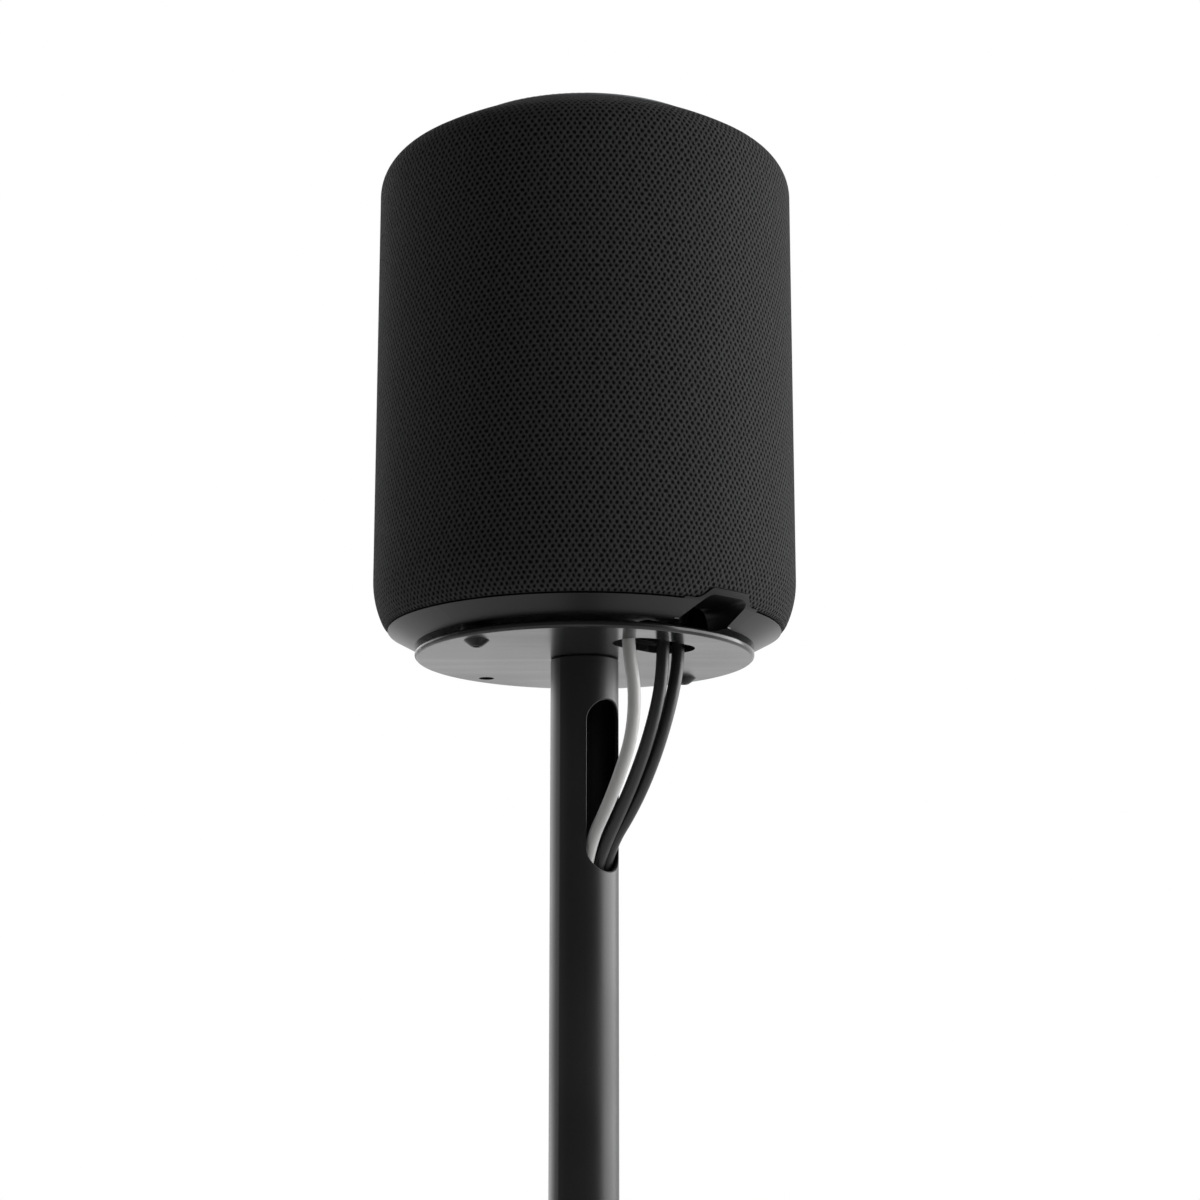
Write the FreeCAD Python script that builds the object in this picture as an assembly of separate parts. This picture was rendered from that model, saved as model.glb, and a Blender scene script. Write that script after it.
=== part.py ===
import FreeCAD, Part
import math
import os

from FreeCAD import Vector

# A cylindrical loudspeaker screwed on a round plate, on a tube that stands on a round base.
# Millimetres, +Z up. The origin is the centre of the base, on the floor. The cable side is +Y.

# Base and feet
FOOT_HEIGHT = 3.0
FOOT_RADIUS = 10.0
FOOT_COUNT = 6
FOOT_RIM_DISTANCE = 20.0
BASE_RADIUS = 140.0
BASE_THICKNESS = 8.0
BASE_EDGE = 1.5
BASE_BOLT_RADIUS = 4.0
BASE_BOLT_HEAD_RADIUS = 8.0
BASE_BOLT_LENGTH = 30.0
BASE_BOLT_KEY = 5.0

# Pole
POLE_RADIUS = 14.0
POLE_WALL = 1.5
POLE_LENGTH = 749.0
SLOT_WIDTH = 18.0
UPPER_SLOT_LENGTH = 70.0
UPPER_SLOT_DROP = 18.0
LOWER_SLOT_LENGTH = 50.0
LOWER_SLOT_RISE = 39.0
UPPER_INSERT_LENGTH = 15.0
LOWER_INSERT_LENGTH = 32.0
POLE_EDGE = 0.6
SLOT_EDGE = 0.4

# Plate under the speaker
PLATE_RADIUS = 70.0
PLATE_THICKNESS = 3.0
PLATE_EDGE = 1.3
PLATE_BOLT_RADIUS = 3.0
PLATE_BOLT_HEAD_RADIUS = 5.7
PLATE_BOLT_LENGTH = 16.0
PLATE_BOLT_KEY = 4.0
HOLE_CIRCLE_RADIUS = 60.0
HOLE_RADIUS = 3.25
CABLE_SLOT_LENGTH = 38.0
CABLE_SLOT_WIDTH = 22.0
CABLE_SLOT_X = 2.5
CABLE_SLOT_Y = 42.0

# Screws that hold the speaker, with their washers and threaded inserts
SCREW_RADIUS = 3.0
SCREW_HEAD_RADIUS = 5.25
SCREW_HEAD_HEIGHT = 2.5
SCREW_KEY = 3.0
SCREW_KEY_DEPTH = 1.5
SCREW_LENGTH = 15.0
SCREW_FLAT_MARGIN = 0.5
SCREW_BULGE = 0.12
SCREW_BULGE_SHARE = 0.52
SPACER_RADIUS = 6.5
SPACER_HEIGHT = 2.0
INSERT_RADIUS = 4.5
INSERT_LENGTH = 11.0

# Outer curve of the speaker: a straight side, drawn in at the hem, rounded to a low crown
SPEAKER_RADIUS = 87.5
SEAM_HEIGHT = 6.7
HEM_RADIUS = 7.6
HEM_ANGLE = 57.5
SWEEP_RADIUS = 40.0
SWEEP_ANGLE = 25.0
SIDE_LENGTH = 167.3
SHOULDER_RADIUS = 15.8
SHOULDER_ANGLE = 57.0
CROWN_RADIUS = 147.0
CROWN_ANGLE = 66.0
FABRIC_THICKNESS = 1.8
FABRIC_CLEARANCE = 0.3
CABINET_WALL = 3.0

# Moulded foot of the speaker, with its cable notch and socket recess
FOOT_RING_RADIUS = 70.0
FOOT_RING_TOP_RADIUS = 81.2
FOOT_RING_HEIGHT = 6.0
MOULDING_WALL = 3.0
RIM_RADIUS = 78.0
RIM_WALL = 2.5
NOTCH_X = 3.2
NOTCH_TOP_HALF_WIDTH = 11.0
NOTCH_BOTTOM_HALF_WIDTH = 13.5
NOTCH_HEIGHT = 8.5
NOTCH_CORNER = 5.0
SURROUND_TOP_HALF_WIDTH = 9.5
SURROUND_SEAM_HALF_WIDTH = 14.0
SURROUND_HEIGHT = 10.8
SURROUND_CORNER = 3.0
SURROUND_FOOT = 4.0
SURROUND_FOOT_LENGTH = 6.0
SURROUND_PROUD = 0.7
SURROUND_DEPTH_RADIUS = 68.0
RECESS_HALF_WIDTH = 22.0
RECESS_NEAR_Y = 30.0
RECESS_FAR_Y = 60.0
RECESS_HEIGHT = 30.0
RECESS_WALL = 2.0

# Inner ledges and shelves, above the underside of the speaker
FLANGE_HEIGHT = 11.5
FLANGE_THICKNESS = 3.0
FLANGE_INNER_RADIUS = 68.0
CABINET_SCREW_CIRCLE = 72.0
CABINET_SCREW_COUNT = 4
CABINET_SCREW_RADIUS = 1.5
CABINET_SCREW_HEAD_RADIUS = 2.75
CABINET_SCREW_HEAD_HEIGHT = 2.0
CABINET_SCREW_LENGTH = 9.0
BOSS_RADIUS = 4.2
BOSS_START = 4.0
LEDGE_HEIGHT = 46.0
LEDGE_WIDTH = 4.0
LEDGE_OVERLAP = 1.0
BAFFLE_THICKNESS = 3.0
WOOFER_OPENING_RADIUS = 57.0
WOOFER_FLANGE_RADIUS = 68.0
WOOFER_FLANGE_THICKNESS = 3.0
WOOFER_DEPTH = 38.0
WOOFER_NECK_RADIUS = 32.0
WOOFER_WALL = 2.5
WOOFER_MAGNET_RADIUS = 40.0
WOOFER_MAGNET_THICKNESS = 15.0
WOOFER_CONE_RADIUS = 50.0
WOOFER_CONE_NECK = 18.0
WOOFER_CONE_WALL = 1.2
WOOFER_CONE_STOP = 12.0
WOOFER_ROLL_RISE = 2.6
WOOFER_CAP_RISE = 6.0
SHELF_THICKNESS = 3.0
SHELF_CLEARANCE = 0.3
STANDOFF_HEIGHT = 6.0
STANDOFF_RADIUS = 3.5
STANDOFF_SPREAD = 34.0
MAIN_BOARD_SIDE = 80.0
BOARD_THICKNESS = 1.6
HEAT_SINK_SIDE = 46.0
HEAT_SINK_HEIGHT = 22.0
HEAT_SINK_BASE = 4.0
HEAT_SINK_FINS = 8
HEAT_SINK_FIN_THICKNESS = 1.6
POWER_BOARD_WIDTH = 70.0
POWER_BOARD_HEIGHT = 46.0
POWER_BOARD_Y = 52.0
POWER_BOARD_SLOT = 1.6
TRANSFORMER_SIDE = 22.0
TRANSFORMER_DEPTH = 17.6
CAPACITOR_RADIUS = 7.0
CAPACITOR_LENGTH = 12.0
CAPACITOR_X = 24.5
CAPACITOR_RISE = 20.0

# Side-firing drivers
DRIVER_GAP = 3.0
DRIVER_SIZE_SHARE = 0.1554
DRIVER_RIM_WIDTH = 4.5
TWEETER_SIZE_SHARE = 0.0897
TWEETER_RIM_WIDTH = 3.5
DRIVER_BOSS_DEPTH = 72.0
DRIVER_BOSS_MARGIN = 3.0
DRIVER_FLANGE_THICKNESS = 3.0
DRIVER_MAGNET_SHARE = 0.62
DRIVER_DISH_SHARE = 0.9
DRIVER_NECK_SHARE = 0.72
DRIVER_DOME_SHARE = 0.35
DRIVER_CROWN_SHARE = 0.245
DRIVER_REAR_SHARE = 0.95
DRIVER_CROWN_HEIGHT = 1.5
DRIVER_DOME_HEIGHT = 1.0
DRIVER_DISH_DEPTH = 0.6
DRIVER_ROLL_HEIGHT = 0.8
DRIVER_DEPTH = 22.0
TWEETER_DEPTH = 12.0

# Top of the speaker
BUTTON_NAMES = ("volume_up_button", "action_button", "volume_down_button", "mute_button")
TOP_RISE = 1.6
TOP_SHELF_DROP = 7.0
TOP_SHELF_THICKNESS = 3.0
TOP_SHELF_INNER_RADIUS = 50.0
TOP_SHELF_OUTER_RADIUS = 62.5
LIGHT_RING_GAP = 1.03
LIGHT_RING_WIDTH = 3.2
LIGHT_RING_LIP = 1.5
LIGHT_RING_LIP_HEIGHT = 3.0
LIGHT_RING_EDGE = 1.0
TOP_GAP = 0.2
TOP_CAP_THICKNESS = 4.0
TOP_CAP_SKIRT = 3.5
TOP_CAP_EDGE = 0.6
BUTTON_RADIUS = 7.1
BUTTON_CLEARANCE = 0.2
BUTTON_PROUD = 0.8
BUTTON_CIRCLE_RADIUS = 28.0
BUTTON_TRAVEL = 0.6
BUTTON_FLANGE = 1.2
BUTTON_FLANGE_THICKNESS = 1.2
BUTTON_FLANGE_GAP = 0.1
BUTTON_STEM_RADIUS = 1.5
BUTTON_STEM_LENGTH = 1.2
BUTTON_EDGE = 0.5
SWITCH_CLEARANCE = 0.1
SWITCH_SIDE = 6.0
SWITCH_HEIGHT = 3.4
SWITCH_PLUNGER_RADIUS = 1.7
SWITCH_PLUNGER_HEIGHT = 0.8
BUTTON_BOARD_RADIUS = 47.0
POST_RADIUS = 3.0
POST_CIRCLE_RADIUS = 40.0
POST_COUNT = 4
POST_SCREW_RADIUS = 1.25
POST_SCREW_HEAD_RADIUS = 2.3
POST_SCREW_HEAD_HEIGHT = 1.6
POST_SCREW_LENGTH = 6.0

# Leads
CORD_RADIUS = 2.65
CORD_CLEARANCE = 0.35
RUN_SHARE = 0.45
COIL_PITCH = 6.0
COIL_LAYER_STEP = 5.9
COIL_LEAST_RADIUS = 22.5
COIL_LEAD_IN = 18.0
COIL_CROSSING = 0.5
COIL_CROSSING_SLOPE = 1.5
COIL_STOP_STEP = 0.25
COIL_GAP_REACH = 60.0
COIL_GAP_SAMPLES = 9
NEARLY_NONE = 0.01
TIE_THICKNESS = 1.0
TIE_WIDTH = 10.0
MAINS_INLET_LENGTH = 19.0
MAINS_INLET_WIDTH = 8.5
AUDIO_BOOT_RADIUS = 4.2
DATA_PLUG_WIDTH = 11.7
DATA_PLUG_HEIGHT = 8.2
PLUG_LENGTH = 20.0
BOOT_MARGIN = 0.9
SOCKET_DEPTH = 8.0
SOCKET_MOUTH_MARGIN = 1.0
SOCKET_BODY_MARGIN = 0.4
WALL_PLUG_LENGTH = 36.0
WALL_PLUG_WIDTH = 32.0
WALL_PLUG_HEIGHT = 15.0
WALL_PLUG_NECK = 14.4
WALL_PLUG_TAPER = 19.8
WALL_PLUG_EDGE = 1.6
PIN_RADIUS = 2.0
PIN_LENGTH = 19.0
PIN_SPACING = 19.0
RELIEF_LENGTH = 24.0
RELIEF_TIP_RADIUS = 3.3
RELIEF_ROOT_RADIUS = 5.0
JACK_BODY_RADIUS = 4.6
JACK_BODY_LENGTH = 26.0
JACK_RADIUS = 1.75
JACK_LENGTH = 14.0
JACK_SHOULDER = 6.0
JACK_TIP_LENGTH = 2.0
JACK_TIP_RADIUS = 1.05
DATA_BOOT_LENGTH = 12.0
DATA_BODY_LENGTH = 21.0

# Heights worked out from the values above
BASE_TOP = FOOT_HEIGHT + BASE_THICKNESS
PLATE_BOTTOM = BASE_TOP + POLE_LENGTH
PLATE_TOP = PLATE_BOTTOM + PLATE_THICKNESS
SPEAKER_BOTTOM = PLATE_TOP + SPACER_HEIGHT
POLE_BORE = POLE_RADIUS - POLE_WALL
COIL_LOW_Z = TIE_THICKNESS + CORD_RADIUS + CORD_CLEARANCE
COIL_HIGH_Z = COIL_LOW_Z + COIL_LAYER_STEP
HEM_RISE = HEM_RADIUS * (math.sin(math.radians(HEM_ANGLE)) - math.sin(math.radians(SWEEP_ANGLE)))
SIDE_START = SEAM_HEIGHT + SWEEP_RADIUS * math.sin(math.radians(SWEEP_ANGLE)) + HEM_RISE
SIDE_END = SIDE_START + SIDE_LENGTH
SHOULDER_DROP = (CROWN_RADIUS - SHOULDER_RADIUS) * math.sin(math.radians(SHOULDER_ANGLE))
TOP_HEIGHT = SIDE_END - SHOULDER_DROP + CROWN_RADIUS * math.sin(math.radians(CROWN_ANGLE)) + TOP_RISE
TOP_SHELF_HEIGHT = TOP_HEIGHT - TOP_SHELF_DROP
SHOULDER_REACH = (CROWN_RADIUS - SHOULDER_RADIUS) * math.cos(math.radians(SHOULDER_ANGLE))
CROWN_REACH = CROWN_RADIUS * math.cos(math.radians(CROWN_ANGLE))
CROWN_END_RADIUS = SPEAKER_RADIUS - SHOULDER_RADIUS - SHOULDER_REACH + CROWN_REACH
LIGHT_RING_RADIUS = CROWN_END_RADIUS - LIGHT_RING_GAP
WOOFER_TOP_HEIGHT = LEDGE_HEIGHT + BAFFLE_THICKNESS + WOOFER_DEPTH + WOOFER_MAGNET_THICKNESS
DRIVER_FLANGE_RADIUS = SIDE_LENGTH * DRIVER_SIZE_SHARE
DRIVER_OPENING_RADIUS = DRIVER_FLANGE_RADIUS - DRIVER_RIM_WIDTH
TWEETER_FLANGE_RADIUS = SIDE_LENGTH * TWEETER_SIZE_SHARE
TWEETER_OPENING_RADIUS = TWEETER_FLANGE_RADIUS - TWEETER_RIM_WIDTH
DRIVER_HEIGHT = WOOFER_TOP_HEIGHT + SHELF_THICKNESS + DRIVER_BOSS_MARGIN + DRIVER_FLANGE_RADIUS + DRIVER_GAP
TWEETER_HEIGHT = DRIVER_HEIGHT + DRIVER_FLANGE_RADIUS + DRIVER_GAP + TWEETER_FLANGE_RADIUS

UP = Vector(0, 0, 1)
CENTRE = Vector(0, 0, 0)
BIG = 400.0

# Height of the speaker for which the routes are laid, and the stretch that is drawn out with the pole
ROUTE_SPEAKER_BOTTOM = 765.0
ROUTE_LOW = 130.0
ROUTE_HIGH = 660.0

# Routes of the leads, from the plug in the speaker down to the coil behind the base
DATA_ROUTE = [
    (15.8, 40.5, 771.0),
    (15.8, 40.5, 757.0),
    (13.0, 41.8, 741.0),
    (10.6, 37.6, 723.0),
    (9.4, 28.6, 707.0),
    (7.2, 19.6, 696.0),
    (5.5, 10.6, 686.0),
    (5.0, 4.6, 670.0),
    (5.6, 3.0, 642.0),
    (6.1, 1.2, 592.0),
    (6.4, 0.0, 522.0),
    (6.5, -0.6, 447.0),
    (6.4, -0.6, 372.0),
    (6.2, 0.0, 297.0),
    (5.9, 1.2, 227.0),
    (5.6, 3.0, 165.0),
    (5.4, 4.6, 122.0),
    (5.4, 8.2, 93.0),
    (6.2, 17.4, 68.0),
    (9.4, 33.0, 44.0),
    (15.8, 52.0, 23.6),
    (25.0, 75.0, 14.4),
    (35.0, 100.0, 14.2),
    (45.0, 129.5, 14.8),
]
MAINS_ROUTE = [
    (-3.0, 42.0, 771.0),
    (-3.0, 42.0, 757.0),
    (-2.0, 40.8, 741.0),
    (-0.6, 35.6, 723.0),
    (-0.2, 27.6, 707.0),
    (-0.3, 19.0, 694.0),
    (-0.4, 10.4, 682.0),
    (-0.4, 3.6, 666.0),
    (-0.1, 1.2, 638.0),
    (0.1, -0.8, 588.0),
    (0.2, -2.4, 518.0),
    (0.2, -3.2, 443.0),
    (0.2, -3.2, 368.0),
    (0.1, -2.4, 293.0),
    (0.0, -0.8, 223.0),
    (-0.1, 1.4, 163.0),
    (-0.2, 3.8, 120.0),
    (-0.4, 8.0, 91.0),
    (-1.4, 17.2, 66.0),
    (-4.0, 32.6, 42.0),
    (-9.0, 51.4, 22.6),
    (-16.0, 75.0, 14.4),
    (-24.4, 100.0, 14.2),
    (-31.6, 127.0, 14.6),
    (-34.2, 149.0, 13.0),
]
AUDIO_ROUTE = [
    (-12.0, 42.0, 771.0),
    (-12.0, 42.0, 757.0),
    (-9.0, 41.2, 741.0),
    (-7.0, 36.2, 723.0),
    (-6.3, 28.2, 707.0),
    (-6.0, 19.4, 694.5),
    (-5.6, 10.0, 684.0),
    (-5.4, 4.4, 668.0),
    (-5.9, 3.0, 639.0),
    (-6.2, 1.2, 589.0),
    (-6.4, 0.0, 519.0),
    (-6.5, -0.6, 444.0),
    (-6.5, -0.6, 369.0),
    (-6.3, 0.0, 294.0),
    (-6.0, 1.2, 224.0),
    (-5.8, 3.0, 164.0),
    (-5.6, 4.8, 121.0),
    (-5.4, 8.2, 92.0),
    (-6.6, 17.6, 67.0),
    (-11.2, 33.4, 43.0),
    (-18.8, 52.0, 23.0),
    (-28.6, 75.0, 14.4),
    (-37.8, 100.0, 14.2),
    (-45.6, 129.5, 14.8),
]

# Each coil: centre, angle where the lead comes in, way round, turns
DATA_COIL = (Vector(84.0, 177.0, 0), 180.0, -1, 4.5)
MAINS_COIL = (Vector(0.0, 192.0, 0), 180.0, -1, 4.25)
AUDIO_COIL = (Vector(-84.0, 177.0, 0), 0.0, 1, 4.5)

# Tails from the end of each coil to the plug that lies beside it, as steps (along, out)
DATA_TAIL = [(14.0, 0.0), (28.0, 0.8), (42.0, 2.6)]
MAINS_TAIL = [(14.0, 0.0), (32.0, 3.0), (48.0, 7.4)]
AUDIO_TAIL = [(14.0, 0.0), (28.0, 0.8), (42.0, 2.6)]


def lathe(points):
    """A solid of revolution about Z from a closed outline of (radius, height) points."""
    corners = [Vector(r, 0, z) for r, z in points]
    face = Part.Face(Part.makePolygon(corners + corners[:1]))
    return face.revolve(CENTRE, UP, 360)


def lathe_edges(edges):
    """A solid of revolution about Z from a closed outline of edges in the XZ plane."""
    ordered = Part.__sortEdges__(edges)
    return Part.Face(Part.Wire(ordered)).revolve(CENTRE, UP, 360)


def disc(radius, bottom, height, x=0.0, y=0.0):
    return Part.makeCylinder(radius, height, Vector(x, y, bottom))


def tube(outer, inner, bottom, height):
    return disc(outer, bottom, height).cut(disc(inner, bottom, height))


def block(low, high):
    size = [b - a for a, b in zip(low, high)]
    return Part.makeBox(*size, Vector(*low))


def prism(points, axis):
    """Points of a closed outline, extruded along the vector axis."""
    return Part.Face(Part.makePolygon(points + points[:1])).extrude(axis)


def hexagon(across_flats, x, y, bottom, height):
    reach = across_flats / math.sqrt(3)
    turns = [math.radians(60 * k) for k in range(6)]
    corners = [Vector(x + reach * math.cos(a), y + reach * math.sin(a), bottom) for a in turns]
    return prism(corners, Vector(0, 0, height))


def obround(x, y, length, width, bottom, height):
    """A slot cutter with round ends, long along X."""
    half = (length - width) / 2
    middle = block((x - half, y - width / 2, bottom), (x + half, y + width / 2, bottom + height))
    for side in (-1, 1):
        middle = middle.fuse(disc(width / 2, bottom, height, x + side * half, y))
    return middle.removeSplitter()


def ring_of(count, radius, start=0.0):
    turns = [math.radians(start + 360.0 * k / count) for k in range(count)]
    return [(radius * math.cos(a), radius * math.sin(a)) for a in turns]


def polar(centre, radius, angle):
    a = math.radians(angle)
    return Vector(centre[0] + radius * math.cos(a), 0, centre[1] + radius * math.sin(a))


def arc(centre, radius, start, end):
    """An arc in the XZ plane, with its angles in degrees above the radial direction."""
    middle = (start + end) / 2
    return Part.Arc(*(polar(centre, radius, a) for a in (start, middle, end))).toShape()


def line(a, b):
    return Part.LineSegment(a, b).toShape()


def skin(inset):
    """The speaker's outer curve from hem to crown, moved inwards by inset: edges, start and end."""
    low_z = SPEAKER_BOTTOM + SIDE_START
    high_z = SPEAKER_BOTTOM + SIDE_END
    sweep = (SPEAKER_RADIUS - SWEEP_RADIUS, low_z)
    hem_at = polar(sweep, SWEEP_RADIUS - HEM_RADIUS, -SWEEP_ANGLE)
    hem = (hem_at.x, hem_at.z)
    shoulder = (SPEAKER_RADIUS - SHOULDER_RADIUS, high_z)
    crown_at = polar(shoulder, SHOULDER_RADIUS - CROWN_RADIUS, SHOULDER_ANGLE)
    crown = (crown_at.x, crown_at.z)
    side = SPEAKER_RADIUS - inset
    edges = [
        arc(hem, HEM_RADIUS - inset, -HEM_ANGLE, -SWEEP_ANGLE),
        arc(sweep, SWEEP_RADIUS - inset, -SWEEP_ANGLE, 0),
        line(Vector(side, 0, low_z), Vector(side, 0, high_z)),
        arc(shoulder, SHOULDER_RADIUS - inset, 0, SHOULDER_ANGLE),
        arc(crown, CROWN_RADIUS - inset, SHOULDER_ANGLE, CROWN_ANGLE),
    ]
    start = polar(hem, HEM_RADIUS - inset, -HEM_ANGLE)
    return edges, start, polar(crown, CROWN_RADIUS - inset, CROWN_ANGLE)


def shell(outer_inset, thickness):
    """The wall between two insets of the speaker's outer curve."""
    outer, outer_start, outer_end = skin(outer_inset)
    inner, inner_start, inner_end = skin(outer_inset + thickness)
    return lathe_edges(outer + [line(outer_end, inner_end)] + inner + [line(outer_start, inner_start)])


def along_y(outline, start, length):
    """An outline above the speaker's underside, its corners rounded, extruded along +Y."""
    points, radii = outline
    corners = [Vector(x, start, SPEAKER_BOTTOM + z) for x, z in points]
    edges, last = [], None
    for k, (corner, radius) in enumerate(zip(corners, radii)):
        before, after = corners[k - 1] - corner, corners[(k + 1) % len(corners)] - corner
        half_angle = before.getAngle(after) / 2
        before.normalize()
        after.normalize()
        trim = radius / math.tan(half_angle)
        first, second = corner + before * trim, corner + after * trim
        if last is not None:
            edges.append(line(last, first))
        else:
            opening = first
        if radius:
            bisector = before + after
            bisector.normalize()
            middle = corner + bisector * (radius / math.sin(half_angle) - radius)
            edges.append(Part.Arc(first, middle, second).toShape())
        last = second
    edges.append(line(last, opening))
    return Part.Face(Part.Wire(edges)).extrude(Vector(0, length, 0))


def tangent_path(points):
    """Edges of straight runs joined by arcs, and the arcs' radii."""
    edges, radii, last = [], [], points[0]
    for before, corner, after in zip(points, points[1:], points[2:]):
        inward, outward = corner - before, after - corner
        trim = RUN_SHARE * min(inward.Length, outward.Length)
        turn = inward.getAngle(outward)
        inward.normalize()
        outward.normalize()
        radius = trim / math.tan(turn / 2)
        bisector = outward - inward
        bisector.normalize()
        start, end = corner - inward * trim, corner + outward * trim
        middle = corner + bisector * (radius * (1 / math.cos(turn / 2) - 1))
        edges += [line(last, start), Part.Arc(start, middle, end).toShape()]
        radii.append(radius)
        last = end
    edges.append(line(last, points[-1]))
    return edges, radii


def sweep_along(edges, name):
    """A cord's solid along a path of tangent edges, with its volume set against its length."""
    path = Part.Wire(edges)
    start = path.Edges[0]
    point = start.valueAt(start.FirstParameter)
    direction = start.tangentAt(start.FirstParameter)
    section = Part.Wire([Part.makeCircle(CORD_RADIUS, point, direction)])
    solid = path.makePipeShell([section], True, False)
    share = solid.Volume / (math.pi * CORD_RADIUS ** 2 * path.Length)
    print(f"{name}: {path.Length:.0f} mm, volume {share:.4f} of section times length")
    return solid


def lead(points, name):
    edges, radii = tangent_path(points)
    print(f"{name}: radii", " ".join(f"{r:.0f}" for r in radii))
    return sweep_along(edges, name)


def half_biarc(start, corner, end):
    """An arc that leaves start towards corner and reaches end from it."""
    chord_middle = (start + end) * 0.5
    rise = corner - chord_middle
    reach = (corner - start).Length
    half_chord = (end - start).Length / 2
    radius = reach * half_chord / rise.Length
    sagitta = radius * (1 - half_chord / reach)
    rise.normalize()
    return Part.Arc(start, chord_middle + rise * sagitta, end).toShape()


def biarc(start, start_way, end, end_way):
    span = end - start
    both = start_way + end_way
    a = 2 * (1 - start_way.dot(end_way))
    b = 2 * span.dot(both)
    c = -span.dot(span)
    reach = (-b + math.sqrt(b * b - 4 * a * c)) / (2 * a)
    first, second = start + start_way * reach, end - end_way * reach
    middle = (first + second) * 0.5
    return [half_biarc(start, first, middle), half_biarc(middle, second, end)]


def coil_point(coil, turn):
    """The cord's centre after so many turns: in on the upper layer, down, and out on the lower."""
    centre, start, way, turns = coil
    angle = math.radians(start + 360 * way * turn)
    radius = COIL_LEAST_RADIUS + COIL_PITCH * abs(turn - turns / 2)
    drop = min(max((turn - turns / 2) / COIL_CROSSING + 1 / 2, 0), 1)
    height = COIL_HIGH_Z - COIL_LAYER_STEP * drop
    return centre + Vector(radius * math.cos(angle), radius * math.sin(angle), height)


def coil_way(coil, turn):
    """The cord's direction there."""
    centre, start, way, turns = coil
    angle = math.radians(start + 360 * way * turn)
    away = turn - turns / 2
    growth = 0 if abs(away) < NEARLY_NONE else math.copysign(COIL_PITCH, away)
    radius = COIL_LEAST_RADIUS + COIL_PITCH * abs(away)
    around = Vector(-math.sin(angle) * way, math.cos(angle) * way, 0) * (2 * math.pi * radius)
    outward = Vector(math.cos(angle), math.sin(angle), 0) * growth
    fall = -COIL_CROSSING_SLOPE * COIL_LAYER_STEP / COIL_CROSSING if abs(away) < NEARLY_NONE else 0
    direction = around + outward + Vector(0, 0, fall)
    direction.normalize()
    return direction


def coil_stops(coil):
    """Quarter turns, counted from the middle of the coil, with what is left at its two ends."""
    half = coil[3] / 2
    quarters = int(half / COIL_STOP_STEP)
    middle = [half + COIL_STOP_STEP * k for k in range(-quarters, quarters + 1)]
    ends = [0.0, coil[3]] if half - COIL_STOP_STEP * quarters > NEARLY_NONE else []
    return sorted(middle + ends)


def least_gap(points, reach):
    """The least clear distance between stretches of a cord that lie further apart along it than reach."""
    along, best = [0.0], BIG
    for a, b in zip(points, points[1:]):
        along.append(along[-1] + (b - a).Length)
    for i, a in enumerate(points):
        for j in range(i + 1, len(points)):
            if along[j] - along[i] > reach:
                best = min(best, (points[j] - a).Length)
    return best - 2 * CORD_RADIUS


def coil_tube(coil, name):
    """One unbroken tube of all the turns, straight for one diameter at both ends."""
    stops = coil_stops(coil)
    edges = []
    for a, b in zip(stops, stops[1:]):
        edges += biarc(coil_point(coil, a), coil_way(coil, a), coil_point(coil, b), coil_way(coil, b))
    first, last = coil_ends(coil)
    edges.insert(0, line(first, coil_point(coil, 0)))
    edges.append(line(coil_point(coil, coil[3]), last))
    samples = [p for e in edges[1:-1] for p in e.discretize(COIL_GAP_SAMPLES)[:-1]]
    print(f"{name}: least gap between turns {least_gap(samples, COIL_GAP_REACH):.2f} mm")
    return sweep_along(edges, name)


def coil_ends(coil):
    """Where the coil's tube starts and ends, a diameter before and after its turns."""
    first = coil_point(coil, 0) - coil_way(coil, 0) * (2 * CORD_RADIUS)
    last = coil_point(coil, coil[3]) + coil_way(coil, coil[3]) * (2 * CORD_RADIUS)
    return first, last


def coil_tie(coil, angle):
    """A strap round the whole bundle, at an angle about the coil's centre."""
    half = TIE_WIDTH / 2
    inner = math.sqrt((COIL_LEAST_RADIUS - CORD_RADIUS) ** 2 - half ** 2) - CORD_CLEARANCE
    outer = COIL_LEAST_RADIUS + COIL_PITCH * coil[3] / 2 + CORD_RADIUS + CORD_CLEARANCE
    top = COIL_HIGH_Z + CORD_RADIUS + CORD_CLEARANCE
    t = TIE_THICKNESS
    strap = block((inner - t, -half, 0), (outer + t, half, top + t))
    strap = strap.cut(block((inner, -half, t), (outer, half, top)))
    strap.rotate(CENTRE, UP, angle)
    strap.translate(coil[0])
    return strap


def tail_points(coil, tail, axis_height):
    """The route of a tail: in line with the end of its coil, then level with its plug's axis."""
    start = coil_ends(coil)[1]
    ahead = coil_way(coil, coil[3])
    outward = Vector(-ahead.y, ahead.x, 0) * -coil[2]
    route = [start + ahead * step + outward * aside for step, aside in tail]
    for point in route[1:]:
        point.z = axis_height
    return [start] + route


def laid(shape, point, direction):
    """A piece that was made along +X from the origin, turned to start at point along direction."""
    shape.rotate(CENTRE, Vector(0, 1, 0), -math.degrees(math.asin(direction.z)))
    shape.rotate(CENTRE, UP, math.degrees(math.atan2(direction.y, direction.x)))
    shape.translate(point)
    return shape


def on_x(shape):
    """A lathed piece laid so that its axis is X."""
    shape.rotate(CENTRE, Vector(0, 1, 0), 90)
    return shape


def base_feet():
    places = ring_of(FOOT_COUNT, BASE_RADIUS - FOOT_RIM_DISTANCE)
    return Part.makeCompound([disc(FOOT_RADIUS, 0, FOOT_HEIGHT, x, y) for x, y in places])


def countersunk(radius, head_radius, length, key, top, up):
    """A countersunk bolt whose flat head lies at height top; up is 1 where the head is above."""
    sink = head_radius - radius
    body = lathe([(0, 0), (head_radius, 0), (radius, -sink), (radius, -length), (0, -length)])
    body = body.cut(hexagon(key, 0, 0, -sink, sink))
    if up < 0:
        body.rotate(CENTRE, Vector(1, 0, 0), 180)
    body.translate(Vector(0, 0, top))
    return body


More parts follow.
